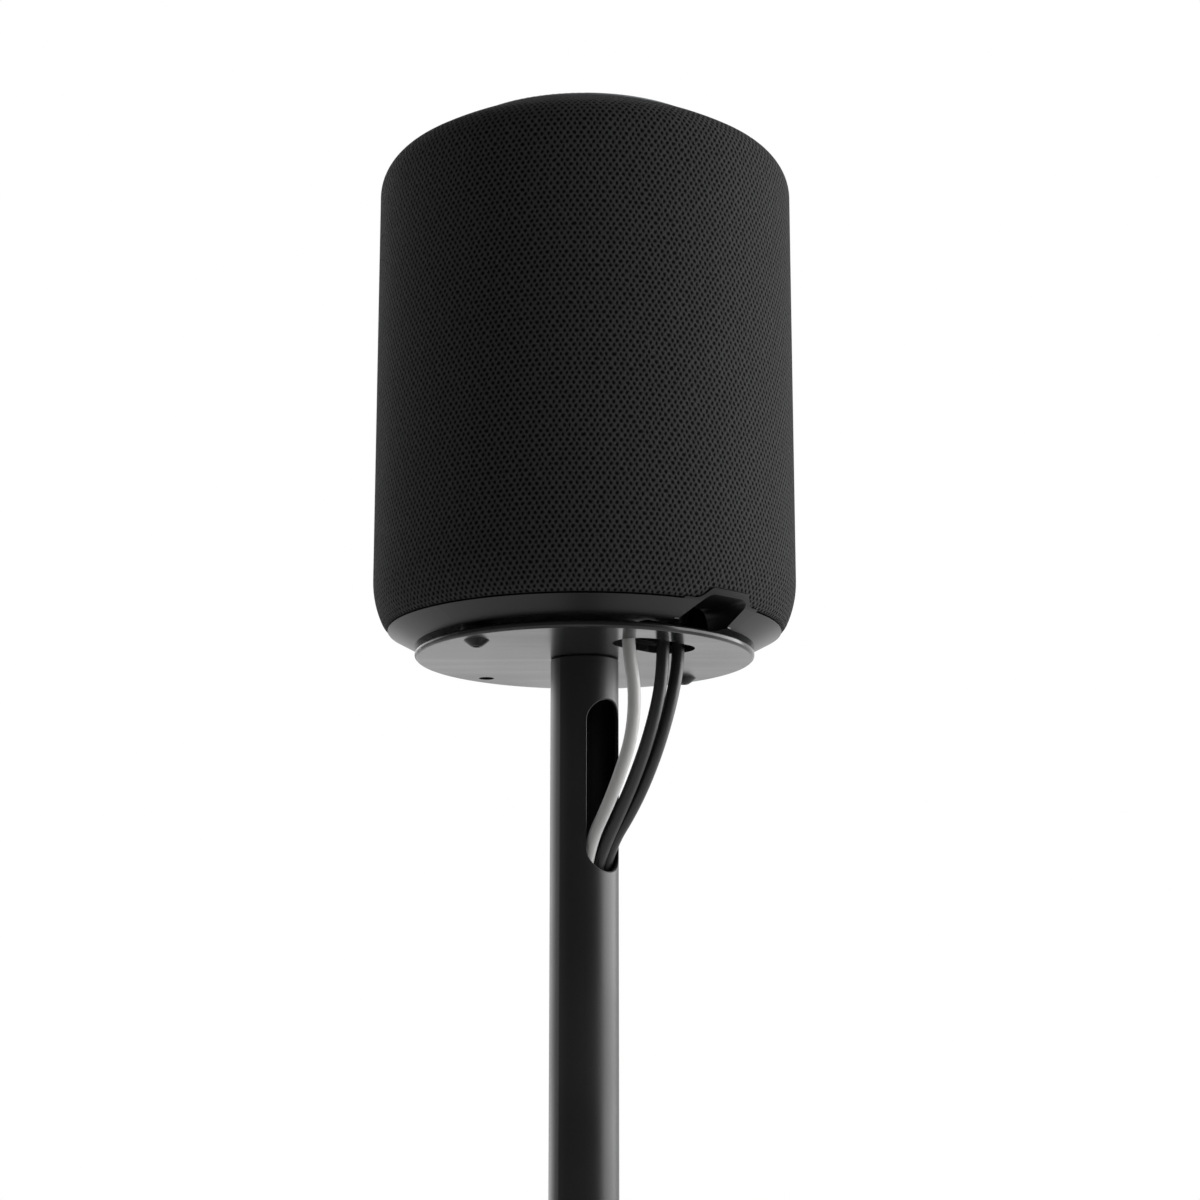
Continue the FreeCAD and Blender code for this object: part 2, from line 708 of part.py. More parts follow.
def sink_cutter(radius, head_radius, depth, top, up):
    """The countersunk hole that such a bolt lies in."""
    sink = head_radius - radius
    body = lathe([(0, 0), (head_radius, 0), (radius, -sink), (radius, -depth), (0, -depth)])
    if up < 0:
        body.rotate(CENTRE, Vector(1, 0, 0), 180)
    body.translate(Vector(0, 0, top))
    return body


def rounded_disc(radius, bottom, height, edge):
    corner_low, corner_high = bottom + edge, bottom + height - edge
    centre_r = radius - edge
    return lathe_edges([
        line(Vector(0, 0, bottom), Vector(centre_r, 0, bottom)),
        arc((centre_r, corner_low), edge, -90, 0),
        line(Vector(radius, 0, corner_low), Vector(radius, 0, corner_high)),
        arc((centre_r, corner_high), edge, 0, 90),
        line(Vector(centre_r, 0, bottom + height), Vector(0, 0, bottom + height)),
        line(Vector(0, 0, bottom + height), Vector(0, 0, bottom)),
    ])


def base_plate():
    body = rounded_disc(BASE_RADIUS, FOOT_HEIGHT, BASE_THICKNESS, BASE_EDGE)
    return body.cut(sink_cutter(BASE_BOLT_RADIUS, BASE_BOLT_HEAD_RADIUS, BASE_THICKNESS, FOOT_HEIGHT, -1))


def base_bolt():
    return countersunk(BASE_BOLT_RADIUS, BASE_BOLT_HEAD_RADIUS, BASE_BOLT_LENGTH, BASE_BOLT_KEY,
                       FOOT_HEIGHT, -1)


def lower_insert():
    body = disc(POLE_BORE, BASE_TOP, LOWER_INSERT_LENGTH)
    return body.cut(disc(BASE_BOLT_RADIUS, BASE_TOP, BASE_BOLT_LENGTH - BASE_THICKNESS))


def pole_slot(bottom, length):
    """A cutter with round ends through the +Y wall of the pole."""
    half = length / 2
    slot = obround(0, 0, length, SLOT_WIDTH, 0, POLE_RADIUS + POLE_WALL)
    slot.rotate(CENTRE, UP, 90)
    slot.rotate(CENTRE, Vector(1, 0, 0), -90)
    slot.translate(Vector(0, 0, bottom + half))
    return slot


def pole():
    body = tube(POLE_RADIUS, POLE_BORE, BASE_TOP, POLE_LENGTH)
    body = body.cut(pole_slot(PLATE_BOTTOM - UPPER_SLOT_DROP - UPPER_SLOT_LENGTH, UPPER_SLOT_LENGTH))
    body = body.cut(pole_slot(BASE_TOP + LOWER_SLOT_RISE, LOWER_SLOT_LENGTH))
    slot_edges = [e for e in body.Edges if on_outside(e) and e.CenterOfMass.y > NEARLY_NONE]
    body = body.makeChamfer(SLOT_EDGE, slot_edges)
    rims = [e for e in body.Edges if on_outside(e) and e.BoundBox.ZLength < NEARLY_NONE]
    return body.makeChamfer(POLE_EDGE, rims)


def on_outside(edge):
    """Whether an edge lies on the outer wall of the pole."""
    distances = [math.hypot(p.x, p.y) for p in edge.discretize(COIL_GAP_SAMPLES)]
    return all(abs(distance - POLE_RADIUS) < NEARLY_NONE for distance in distances)


def upper_insert():
    body = disc(POLE_BORE, PLATE_BOTTOM - UPPER_INSERT_LENGTH, UPPER_INSERT_LENGTH)
    depth = PLATE_BOLT_LENGTH - PLATE_THICKNESS
    return body.cut(disc(PLATE_BOLT_RADIUS, PLATE_BOTTOM - depth, depth))


def screw_places():
    return [(-HOLE_CIRCLE_RADIUS, 0.0), (HOLE_CIRCLE_RADIUS, 0.0)]


def top_plate():
    body = rounded_disc(PLATE_RADIUS, PLATE_BOTTOM, PLATE_THICKNESS, PLATE_EDGE)
    body = body.cut(sink_cutter(PLATE_BOLT_RADIUS, PLATE_BOLT_HEAD_RADIUS, PLATE_THICKNESS, PLATE_TOP, 1))
    for x, y in screw_places() + [(0.0, -HOLE_CIRCLE_RADIUS)]:
        body = body.cut(disc(HOLE_RADIUS, PLATE_BOTTOM, PLATE_THICKNESS, x, y))
    return body.cut(obround(CABLE_SLOT_X, CABLE_SLOT_Y, CABLE_SLOT_LENGTH, CABLE_SLOT_WIDTH,
                            PLATE_BOTTOM, PLATE_THICKNESS))


def top_bolt():
    return countersunk(PLATE_BOLT_RADIUS, PLATE_BOLT_HEAD_RADIUS, PLATE_BOLT_LENGTH, PLATE_BOLT_KEY,
                       PLATE_TOP, 1)


def speaker_screw(x, y):
    """A button-head screw that points up, with its head under the plate."""
    rise = SCREW_HEAD_HEIGHT
    flat = SCREW_KEY / 2 + SCREW_FLAT_MARGIN
    bulge = (SCREW_HEAD_RADIUS + flat) / 2 + SCREW_BULGE
    body = lathe_edges([
        line(Vector(0, 0, -rise), Vector(flat, 0, -rise)),
        Part.Arc(Vector(flat, 0, -rise), Vector(bulge, 0, -rise * SCREW_BULGE_SHARE),
                 Vector(SCREW_HEAD_RADIUS, 0, 0)).toShape(),
        line(Vector(SCREW_HEAD_RADIUS, 0, 0), Vector(SCREW_RADIUS, 0, 0)),
        line(Vector(SCREW_RADIUS, 0, 0), Vector(SCREW_RADIUS, 0, SCREW_LENGTH)),
        line(Vector(SCREW_RADIUS, 0, SCREW_LENGTH), Vector(0, 0, SCREW_LENGTH)),
        line(Vector(0, 0, SCREW_LENGTH), Vector(0, 0, -rise)),
    ])
    body = body.cut(hexagon(SCREW_KEY, 0, 0, -rise, SCREW_KEY_DEPTH))
    body.translate(Vector(x, y, PLATE_BOTTOM))
    return body


def speaker_screws():
    return Part.makeCompound([speaker_screw(x, y) for x, y in screw_places()])


def screw_washers():
    washers = []
    for x, y in screw_places():
        body = disc(SPACER_RADIUS, PLATE_TOP, SPACER_HEIGHT, x, y)
        washers.append(body.cut(disc(HOLE_RADIUS, PLATE_TOP, SPACER_HEIGHT, x, y)))
    return Part.makeCompound(washers)


def threaded_inserts():
    inserts = []
    for x, y in screw_places():
        body = disc(INSERT_RADIUS, SPEAKER_BOTTOM, INSERT_LENGTH, x, y)
        inserts.append(body.cut(disc(SCREW_RADIUS, SPEAKER_BOTTOM, INSERT_LENGTH, x, y)))
    return Part.makeCompound(inserts)


def surround_outline(grow=0.0):
    """The raised frame round the notch, grown sideways and upwards: (x, height) points and radii."""
    foot = SURROUND_SEAM_HALF_WIDTH + grow
    top = SURROUND_TOP_HALF_WIDTH + grow
    wide = foot + SURROUND_FOOT_LENGTH
    seam, high = SEAM_HEIGHT + grow, SURROUND_HEIGHT + grow
    half = [(wide, 0), (wide, seam), (foot, seam), (top, high)]
    radii = [0, 0, SURROUND_FOOT, SURROUND_CORNER]
    return mirrored_about_notch(half), radii + radii[::-1]


def notch_outline(grow=0.0):
    """The opening of the notch, grown sideways and upwards: (x, height) points and radii."""
    half = [(NOTCH_BOTTOM_HALF_WIDTH + grow, 0), (NOTCH_TOP_HALF_WIDTH + grow, NOTCH_HEIGHT + grow)]
    radii = [0, NOTCH_CORNER + grow]
    return mirrored_about_notch(half), radii + radii[::-1]


def mirrored_about_notch(half):
    right = [(NOTCH_X + x, z) for x, z in half]
    return right + [(NOTCH_X - x, z) for x, z in reversed(half)]


def speaker_foot():
    """The moulding under the speaker: cone, rim, floor, screw bosses, socket recess and notch."""
    wall, rim_in = MOULDING_WALL, RIM_RADIUS - RIM_WALL
    low = SPEAKER_BOTTOM
    body = lathe([
        (0, low), (FOOT_RING_RADIUS, low), (FOOT_RING_TOP_RADIUS, low + FOOT_RING_HEIGHT),
        (RIM_RADIUS, low + FOOT_RING_HEIGHT), (RIM_RADIUS, low + FLANGE_HEIGHT),
        (rim_in, low + FLANGE_HEIGHT), (rim_in, low + FOOT_RING_HEIGHT),
        (FOOT_RING_RADIUS - wall, low + wall), (0, low + wall),
    ])
    for x, y in ring_of(CABINET_SCREW_COUNT, CABINET_SCREW_CIRCLE, 45):
        body = body.fuse(disc(BOSS_RADIUS, low + BOSS_START, FLANGE_HEIGHT - BOSS_START, x, y))
    for x, y in screw_places():
        body = body.fuse(disc(INSERT_RADIUS + wall, low, INSERT_LENGTH, x, y))
    box_low = (CABLE_SLOT_X - RECESS_HALF_WIDTH - RECESS_WALL, RECESS_NEAR_Y - RECESS_WALL, low)
    box_high = (CABLE_SLOT_X + RECESS_HALF_WIDTH + RECESS_WALL, RECESS_FAR_Y + RECESS_WALL,
                low + RECESS_HEIGHT + RECESS_WALL)
    body = body.fuse(block(box_low, box_high))
    outer, hem, crown = skin(-SURROUND_PROUD)
    toe = Vector(FOOT_RING_RADIUS, 0, low)
    ring_top = Vector(FOOT_RING_TOP_RADIUS, 0, low + FOOT_RING_HEIGHT)
    root_low = Vector(SURROUND_DEPTH_RADIUS, 0, low)
    root_high = Vector(SURROUND_DEPTH_RADIUS, 0, crown.z)
    band = lathe_edges(outer + [line(crown, root_high), line(root_high, root_low), line(root_low, toe),
                                line(toe, ring_top), line(ring_top, hem)])
    surround = along_y(surround_outline(), RECESS_FAR_Y, BIG).common(band)
    body = body.fuse(surround)
    tunnel = along_y(notch_outline(RECESS_WALL), RECESS_FAR_Y, SURROUND_DEPTH_RADIUS + wall - RECESS_FAR_Y)
    body = body.fuse(tunnel.common(disc(SURROUND_DEPTH_RADIUS + wall, low, FLANGE_HEIGHT)))
    recess_low = (CABLE_SLOT_X - RECESS_HALF_WIDTH, RECESS_NEAR_Y, low)
    recess_high = (CABLE_SLOT_X + RECESS_HALF_WIDTH, RECESS_FAR_Y, low + RECESS_HEIGHT)
    body = body.cut(block(recess_low, recess_high))
    body = body.cut(along_y(notch_outline(), RECESS_FAR_Y - RECESS_WALL, BIG))
    body = body.cut(socket_cutters())
    for x, y in screw_places():
        body = body.cut(disc(INSERT_RADIUS, low, INSERT_LENGTH, x, y))
    for x, y in ring_of(CABINET_SCREW_COUNT, CABINET_SCREW_CIRCLE, 45):
        depth = CABINET_SCREW_LENGTH - FLANGE_THICKNESS
        body = body.cut(disc(CABINET_SCREW_RADIUS, low + FLANGE_HEIGHT - depth, depth, x, y))
    return body.removeSplitter()


def route_points(route):
    """A lead's route, whose upper end rises with the speaker and whose middle is drawn out with the pole."""
    lift = SPEAKER_BOTTOM - ROUTE_SPEAKER_BOTTOM
    points = []
    for x, y, z in route:
        share = min(max((z - ROUTE_LOW) / (ROUTE_HIGH - ROUTE_LOW), 0), 1)
        points.append(Vector(x, y, z + lift * share))
    return points


def plug_places():
    """Where each lead starts in the recess: the first point of its route."""
    return [route_points(route)[0] for route in (MAINS_ROUTE, AUDIO_ROUTE, DATA_ROUTE)]


def plug_bodies(grow, bottom, height):
    """The three plugs' outlines in the recess, grown by a wall, from bottom upwards."""
    mains, audio, data = plug_places()
    width, length = MAINS_INLET_WIDTH / 2 + grow, MAINS_INLET_LENGTH / 2 + grow
    shapes = [block((mains.x - width, mains.y - length, bottom),
                    (mains.x + width, mains.y + length, bottom + height))]
    shapes.append(disc(AUDIO_BOOT_RADIUS + grow, bottom, height, audio.x, audio.y))
    width, depth = DATA_PLUG_WIDTH / 2 + grow, DATA_PLUG_HEIGHT / 2 + grow
    shapes.append(block((data.x - width, data.y - depth, bottom),
                        (data.x + width, data.y + depth, bottom + height)))
    return shapes


def socket_cutters():
    """Holes in the roof of the recess, where the sockets come through."""
    roof = SPEAKER_BOTTOM + RECESS_HEIGHT
    return Part.makeCompound(plug_bodies(-SOCKET_MOUTH_MARGIN, roof, RECESS_WALL))


def socket(index):
    """One socket: a body on the roof of the recess, whose mouth looks down through it."""
    roof = SPEAKER_BOTTOM + RECESS_HEIGHT
    body = plug_bodies(-SOCKET_MOUTH_MARGIN, roof, RECESS_WALL)[index]
    housing = plug_bodies(-SOCKET_BODY_MARGIN, roof + RECESS_WALL, SOCKET_DEPTH)[index]
    return body.fuse(housing).removeSplitter()


def lead_plug(index):
    """A plug in the recess with the boot that its lead leaves by."""
    roof = SPEAKER_BOTTOM + RECESS_HEIGHT
    place = plug_places()[index]
    body = plug_bodies(0.0, roof - PLUG_LENGTH, PLUG_LENGTH)[index]
    boot = Part.makeCone(CORD_RADIUS + BOOT_MARGIN / 2, CORD_RADIUS + BOOT_MARGIN,
                         roof - PLUG_LENGTH - place.z, place)
    return body.fuse(boot)


def driver_specs():
    """Name, direction about Z, height, opening and flange radii and depth of each side driver."""
    return [
        ("mid_driver_left", 180, DRIVER_HEIGHT, DRIVER_OPENING_RADIUS, DRIVER_FLANGE_RADIUS, DRIVER_DEPTH),
        ("mid_driver_right", 0, DRIVER_HEIGHT, DRIVER_OPENING_RADIUS, DRIVER_FLANGE_RADIUS, DRIVER_DEPTH),
        ("mid_driver_front", -90, DRIVER_HEIGHT, DRIVER_OPENING_RADIUS, DRIVER_FLANGE_RADIUS, DRIVER_DEPTH),
        ("tweeter", -90, TWEETER_HEIGHT, TWEETER_OPENING_RADIUS, TWEETER_FLANGE_RADIUS, TWEETER_DEPTH),
    ]


def outward_rod(radius, start, length, angle, height):
    """A rod that points out of the cabinet, from a distance start from its axis."""
    rod = Part.makeCylinder(radius, length, Vector(start, 0, SPEAKER_BOTTOM + height), Vector(1, 0, 0))
    rod.rotate(CENTRE, UP, angle)
    return rod


def side_driver(angle, height, opening, flange, depth):
    """A driver behind the cabinet wall: flange, shallow cone with a dome, and magnet."""
    face = DRIVER_BOSS_DEPTH
    back = -DRIVER_FLANGE_THICKNESS
    magnet = flange * DRIVER_MAGNET_SHARE
    body = lathe([
        (0, back + DRIVER_CROWN_HEIGHT), (opening * DRIVER_CROWN_SHARE, back + DRIVER_DOME_HEIGHT),
        (opening * DRIVER_DOME_SHARE, back - DRIVER_DISH_DEPTH), (opening * DRIVER_NECK_SHARE, 0),
        (opening * DRIVER_DISH_SHARE, DRIVER_ROLL_HEIGHT), (opening, 0), (flange, 0), (flange, back),
        (opening * DRIVER_REAR_SHARE, back), (magnet, -depth / 2), (magnet, -depth), (0, -depth),
    ])
    on_x(body)
    body.translate(Vector(face, 0, SPEAKER_BOTTOM + height))
    body.rotate(CENTRE, UP, angle)
    return body


def speaker_cabinet():
    """The inner shell that the fabric is stretched over, with its ledges and driver bosses."""
    low = SPEAKER_BOTTOM
    inside = inner_radius()
    body = shell(FABRIC_THICKNESS + FABRIC_CLEARANCE, CABINET_WALL)
    hem_outer = skin(FABRIC_THICKNESS + FABRIC_CLEARANCE + CABINET_WALL / 2)[1]
    flange_outer = hem_outer.x + LEDGE_OVERLAP
    body = body.fuse(tube(flange_outer, FLANGE_INNER_RADIUS, low + FLANGE_HEIGHT, FLANGE_THICKNESS))
    ledge = tube(inside + LEDGE_OVERLAP, inside - LEDGE_WIDTH, low + LEDGE_HEIGHT - FLANGE_THICKNESS,
                 FLANGE_THICKNESS)
    body = body.fuse(ledge)
    shelf = tube(TOP_SHELF_OUTER_RADIUS, TOP_SHELF_INNER_RADIUS, low + TOP_SHELF_HEIGHT - TOP_SHELF_THICKNESS,
                 TOP_SHELF_THICKNESS)
    body = body.fuse(shelf)
    reach = inside + CABINET_WALL / 2
    for name, angle, height, opening, flange, depth in driver_specs():
        rod = outward_rod(flange + DRIVER_BOSS_MARGIN, DRIVER_BOSS_DEPTH, BIG, angle, height)
        body = body.fuse(rod.common(disc(reach, low, TOP_HEIGHT)))
    for name, angle, height, opening, flange, depth in driver_specs():
        body = body.cut(outward_rod(opening, DRIVER_BOSS_DEPTH, BIG, angle, height))
    clear = along_y(surround_outline(FABRIC_CLEARANCE), RECESS_FAR_Y, BIG)
    body = body.cut(clear.common(disc(BIG, low, SURROUND_HEIGHT + FABRIC_CLEARANCE)))
    for x, y in ring_of(CABINET_SCREW_COUNT, CABINET_SCREW_CIRCLE, 45):
        body = body.cut(disc(CABINET_SCREW_RADIUS, low + FLANGE_HEIGHT, FLANGE_THICKNESS, x, y))
    return body.removeSplitter()


def speaker_fabric():
    """The knitted sleeve over the cabinet, cut out round the notch."""
    body = shell(0, FABRIC_THICKNESS)
    return body.cut(along_y(surround_outline(FABRIC_CLEARANCE), RECESS_FAR_Y, BIG))


def cabinet_screws():
    screws = []
    top = SPEAKER_BOTTOM + FLANGE_HEIGHT + FLANGE_THICKNESS
    for x, y in ring_of(CABINET_SCREW_COUNT, CABINET_SCREW_CIRCLE, 45):
        body = disc(CABINET_SCREW_RADIUS, top - CABINET_SCREW_LENGTH, CABINET_SCREW_LENGTH, x, y)
        screws.append(body.fuse(disc(CABINET_SCREW_HEAD_RADIUS, top, CABINET_SCREW_HEAD_HEIGHT, x, y)))
    return Part.makeCompound(screws)


def woofer_base():
    """Height of the face that the woofer is screwed on."""
    return SPEAKER_BOTTOM + LEDGE_HEIGHT + BAFFLE_THICKNESS


def inner_radius():
    wall = FABRIC_THICKNESS + FABRIC_CLEARANCE + CABINET_WALL
    return SPEAKER_RADIUS - wall


def woofer_baffle():
    return tube(inner_radius() - SHELF_CLEARANCE, WOOFER_OPENING_RADIUS, SPEAKER_BOTTOM + LEDGE_HEIGHT,
                BAFFLE_THICKNESS)


def woofer_frame():
    low = woofer_base()
    top = low + WOOFER_DEPTH
    flange = WOOFER_FLANGE_THICKNESS
    return lathe([
        (WOOFER_OPENING_RADIUS, low), (WOOFER_FLANGE_RADIUS, low), (WOOFER_FLANGE_RADIUS, low + flange),
        (WOOFER_OPENING_RADIUS + WOOFER_WALL, low + flange), (WOOFER_NECK_RADIUS + WOOFER_WALL, top - flange),
        (WOOFER_NECK_RADIUS + WOOFER_WALL, top), (WOOFER_CONE_NECK, top), (WOOFER_CONE_NECK, top - flange),
        (WOOFER_NECK_RADIUS, top - flange), (WOOFER_OPENING_RADIUS, low + flange),
    ])


def woofer_magnet():
    return disc(WOOFER_MAGNET_RADIUS, woofer_base() + WOOFER_DEPTH, WOOFER_MAGNET_THICKNESS)


def woofer_cone():
    """The paper cone and the voice coil's former, which runs up into the frame's neck."""
    low = woofer_base() + WOOFER_ROLL_RISE
    neck = woofer_base() + WOOFER_DEPTH - WOOFER_FLANGE_THICKNESS - WOOFER_CONE_STOP
    top = woofer_base() + WOOFER_DEPTH
    wall = WOOFER_CONE_WALL
    inner = WOOFER_CONE_NECK - 2 * wall
    return lathe([
        (WOOFER_CONE_RADIUS, low), (WOOFER_CONE_RADIUS, low + wall), (inner + wall, neck + wall),
        (inner + wall, top), (inner, top), (inner, neck),
    ])


def woofer_surround():
    """The rubber half roll between the cone's edge and the frame."""
    low = woofer_base() + WOOFER_ROLL_RISE
    inner, outer = WOOFER_CONE_RADIUS, WOOFER_OPENING_RADIUS
    middle, half = (inner + outer) / 2, (outer - inner) / 2
    wall = WOOFER_CONE_WALL
    return lathe_edges([
        arc((middle, low), half, 180, 360),
        line(Vector(outer, 0, low), Vector(outer - wall, 0, low)),
        arc((middle, low), half - wall, 360, 180),
        line(Vector(inner + wall, 0, low), Vector(inner, 0, low)),
    ])


def woofer_dust_cap():
    neck = woofer_base() + WOOFER_DEPTH - WOOFER_FLANGE_THICKNESS - WOOFER_CONE_STOP
    radius = WOOFER_CONE_NECK - 2 * WOOFER_CONE_WALL
    dome = (radius ** 2 + WOOFER_CAP_RISE ** 2) / (2 * WOOFER_CAP_RISE)
    centre = (0, neck + dome - WOOFER_CAP_RISE)
    edge = -math.degrees(math.acos(radius / dome))
    inner = dome - WOOFER_CONE_WALL
    return lathe_edges([
        arc(centre, dome, -90, edge),
        line(polar(centre, dome, edge), polar(centre, inner, edge)),
        arc(centre, inner, edge, -90),
        line(polar(centre, inner, -90), polar(centre, dome, -90)),
    ])


def shelf_bottom():
    return SPEAKER_BOTTOM + WOOFER_TOP_HEIGHT


def board_shelf():
    """The shelf over the woofer that the boards are screwed on."""
    low = shelf_bottom()
    body = disc(inner_radius() - SHELF_CLEARANCE, low, SHELF_THICKNESS)
    for x in (-STANDOFF_SPREAD, STANDOFF_SPREAD):
        for y in (-STANDOFF_SPREAD, STANDOFF_SPREAD):
            body = body.fuse(disc(STANDOFF_RADIUS, low, SHELF_THICKNESS + STANDOFF_HEIGHT, x, y))
    return body


def main_board():
    low = shelf_bottom() + SHELF_THICKNESS + STANDOFF_HEIGHT
    half = MAIN_BOARD_SIDE / 2
    return block((-half, -half, low), (half, half, low + BOARD_THICKNESS))


def heat_sink():
    low = shelf_bottom() + SHELF_THICKNESS + STANDOFF_HEIGHT + BOARD_THICKNESS
    half = HEAT_SINK_SIDE / 2
    body = block((-half, -half, low), (half, half, low + HEAT_SINK_BASE))
    step = (HEAT_SINK_SIDE - HEAT_SINK_FIN_THICKNESS) / (HEAT_SINK_FINS - 1)
    for k in range(HEAT_SINK_FINS):
        x = -half + step * k
        body = body.fuse(block((x, -half, low), (x + HEAT_SINK_FIN_THICKNESS, half, low + HEAT_SINK_HEIGHT)))
    return body


def power_board():
    """The upright mains board, with its transformer and capacitors."""
    low = shelf_bottom() + SHELF_THICKNESS
    half = POWER_BOARD_WIDTH / 2
    face = POWER_BOARD_Y + POWER_BOARD_SLOT
    body = block((-half, POWER_BOARD_Y, low), (half, face, low + POWER_BOARD_HEIGHT))
    side = TRANSFORMER_SIDE / 2
    body = body.fuse(block((-side, face, low), (side, face + TRANSFORMER_DEPTH, low + TRANSFORMER_SIDE)))
    for x in (-CAPACITOR_X, CAPACITOR_X):
        rod = Part.makeCylinder(CAPACITOR_RADIUS, CAPACITOR_LENGTH,
                                Vector(x, face, low + CAPACITOR_RISE), Vector(0, 1, 0))
        body = body.fuse(rod)
    return body


def light_ring():
    """The clear ring round the top cap, standing on the cabinet's upper shelf."""
    low = SPEAKER_BOTTOM + TOP_SHELF_HEIGHT
    top = SPEAKER_BOTTOM + TOP_HEIGHT
    outer, inner = LIGHT_RING_RADIUS, LIGHT_RING_RADIUS - LIGHT_RING_WIDTH
    edge = LIGHT_RING_EDGE
    root, lip = outer - LIGHT_RING_LIP, top - LIGHT_RING_LIP_HEIGHT
    return lathe_edges([
        line(Vector(inner, 0, low), Vector(root, 0, low)),
        line(Vector(root, 0, low), Vector(root, 0, lip)),
        line(Vector(root, 0, lip), Vector(outer, 0, lip)),
        line(Vector(outer, 0, lip), Vector(outer, 0, top - edge)),
        arc((outer - edge, top - edge), edge, 0, 90),
        line(Vector(outer - edge, 0, top), Vector(inner, 0, top)),
        line(Vector(inner, 0, top), Vector(inner, 0, low)),
    ])


def button_places():
    return ring_of(len(BUTTON_NAMES), BUTTON_CIRCLE_RADIUS)


def cap_underside():
    return SPEAKER_BOTTOM + TOP_HEIGHT - TOP_CAP_THICKNESS


def button_top():
    return SPEAKER_BOTTOM + TOP_HEIGHT + BUTTON_PROUD


def stem_end():
    return cap_underside() - BUTTON_FLANGE_GAP - BUTTON_FLANGE_THICKNESS - BUTTON_STEM_LENGTH


def board_top():
    return stem_end() - (BUTTON_TRAVEL + SWITCH_CLEARANCE) - SWITCH_PLUNGER_HEIGHT - SWITCH_HEIGHT


def top_cap():
    """The smooth cap inside the light ring, with four button holes and the board's posts."""
    radius = LIGHT_RING_RADIUS - LIGHT_RING_WIDTH - TOP_GAP
    low = SPEAKER_BOTTOM + TOP_SHELF_HEIGHT
    top = SPEAKER_BOTTOM + TOP_HEIGHT
    edge = TOP_CAP_EDGE
    skirt = radius - TOP_CAP_SKIRT
    body = lathe_edges([
        line(Vector(0, 0, cap_underside()), Vector(skirt, 0, cap_underside())),
        line(Vector(skirt, 0, cap_underside()), Vector(skirt, 0, low)),
        line(Vector(skirt, 0, low), Vector(radius, 0, low)),
        line(Vector(radius, 0, low), Vector(radius, 0, top - edge)),
        arc((radius - edge, top - edge), edge, 0, 90),
        line(Vector(radius - edge, 0, top), Vector(0, 0, top)),
        line(Vector(0, 0, top), Vector(0, 0, cap_underside())),
    ])
    for x, y in ring_of(POST_COUNT, POST_CIRCLE_RADIUS, 45):
        body = body.fuse(disc(POST_RADIUS, board_top(), cap_underside() - board_top(), x, y))
        body = body.cut(disc(POST_SCREW_RADIUS, board_top(), POST_SCREW_LENGTH - BOARD_THICKNESS, x, y))
    for x, y in button_places():
        body = body.cut(disc(BUTTON_RADIUS + BUTTON_CLEARANCE, cap_underside(), TOP_CAP_THICKNESS, x, y))
    return body


def button(x, y):
    """A round key with a flange that keeps it under the cap and a stem over its switch."""
    flange_top = cap_underside() - BUTTON_FLANGE_GAP
    flange_low = flange_top - BUTTON_FLANGE_THICKNESS
    top, edge = button_top(), BUTTON_EDGE
    body = lathe_edges([
        line(Vector(0, 0, stem_end()), Vector(BUTTON_STEM_RADIUS, 0, stem_end())),
        line(Vector(BUTTON_STEM_RADIUS, 0, stem_end()), Vector(BUTTON_STEM_RADIUS, 0, flange_low)),
        line(Vector(BUTTON_STEM_RADIUS, 0, flange_low), Vector(BUTTON_RADIUS + BUTTON_FLANGE, 0, flange_low)),
        line(Vector(BUTTON_RADIUS + BUTTON_FLANGE, 0, flange_low),
             Vector(BUTTON_RADIUS + BUTTON_FLANGE, 0, flange_top)),
        line(Vector(BUTTON_RADIUS + BUTTON_FLANGE, 0, flange_top), Vector(BUTTON_RADIUS, 0, flange_top)),
        line(Vector(BUTTON_RADIUS, 0, flange_top), Vector(BUTTON_RADIUS, 0, top - edge)),
        arc((BUTTON_RADIUS - edge, top - edge), edge, 0, 90),
        line(Vector(BUTTON_RADIUS - edge, 0, top), Vector(0, 0, top)),
        line(Vector(0, 0, top), Vector(0, 0, stem_end())),
    ])
    body.translate(Vector(x, y, 0))
    return body


def button_board():
    """The board under the cap, with a push switch below each button."""
    top = board_top()
    body = disc(BUTTON_BOARD_RADIUS, top - BOARD_THICKNESS, BOARD_THICKNESS)
    half = SWITCH_SIDE / 2
    for x, y in button_places():
        switch = block((x - half, y - half, top - BOARD_THICKNESS), (x + half, y + half, top + SWITCH_HEIGHT))
        body = body.fuse(switch)
        body = body.fuse(disc(SWITCH_PLUNGER_RADIUS, top, SWITCH_HEIGHT + SWITCH_PLUNGER_HEIGHT, x, y))
    for x, y in ring_of(POST_COUNT, POST_CIRCLE_RADIUS, 45):
        body = body.cut(disc(POST_SCREW_RADIUS, top - BOARD_THICKNESS, BOARD_THICKNESS, x, y))
    return body


def button_board_screws():
    screws = []
    low = board_top() - BOARD_THICKNESS
    for x, y in ring_of(POST_COUNT, POST_CIRCLE_RADIUS, 45):
        body = disc(POST_SCREW_RADIUS, low, POST_SCREW_LENGTH, x, y)
        head = disc(POST_SCREW_HEAD_RADIUS, low - POST_SCREW_HEAD_HEIGHT, POST_SCREW_HEAD_HEIGHT, x, y)
        screws.append(body.fuse(head))
    return Part.makeCompound(screws)


def to_coil(route, coil):
    """A route's points, with a last run in line with the start of its coil."""
    start = coil_ends(coil)[0]
    return route_points(route) + [start - coil_way(coil, 0) * COIL_LEAD_IN, start]


def tail_end(points):
    """The end of a tail and the level direction in which it points."""
    direction = points[-1] - points[-2]
    direction.normalize()
    return points[-1], direction


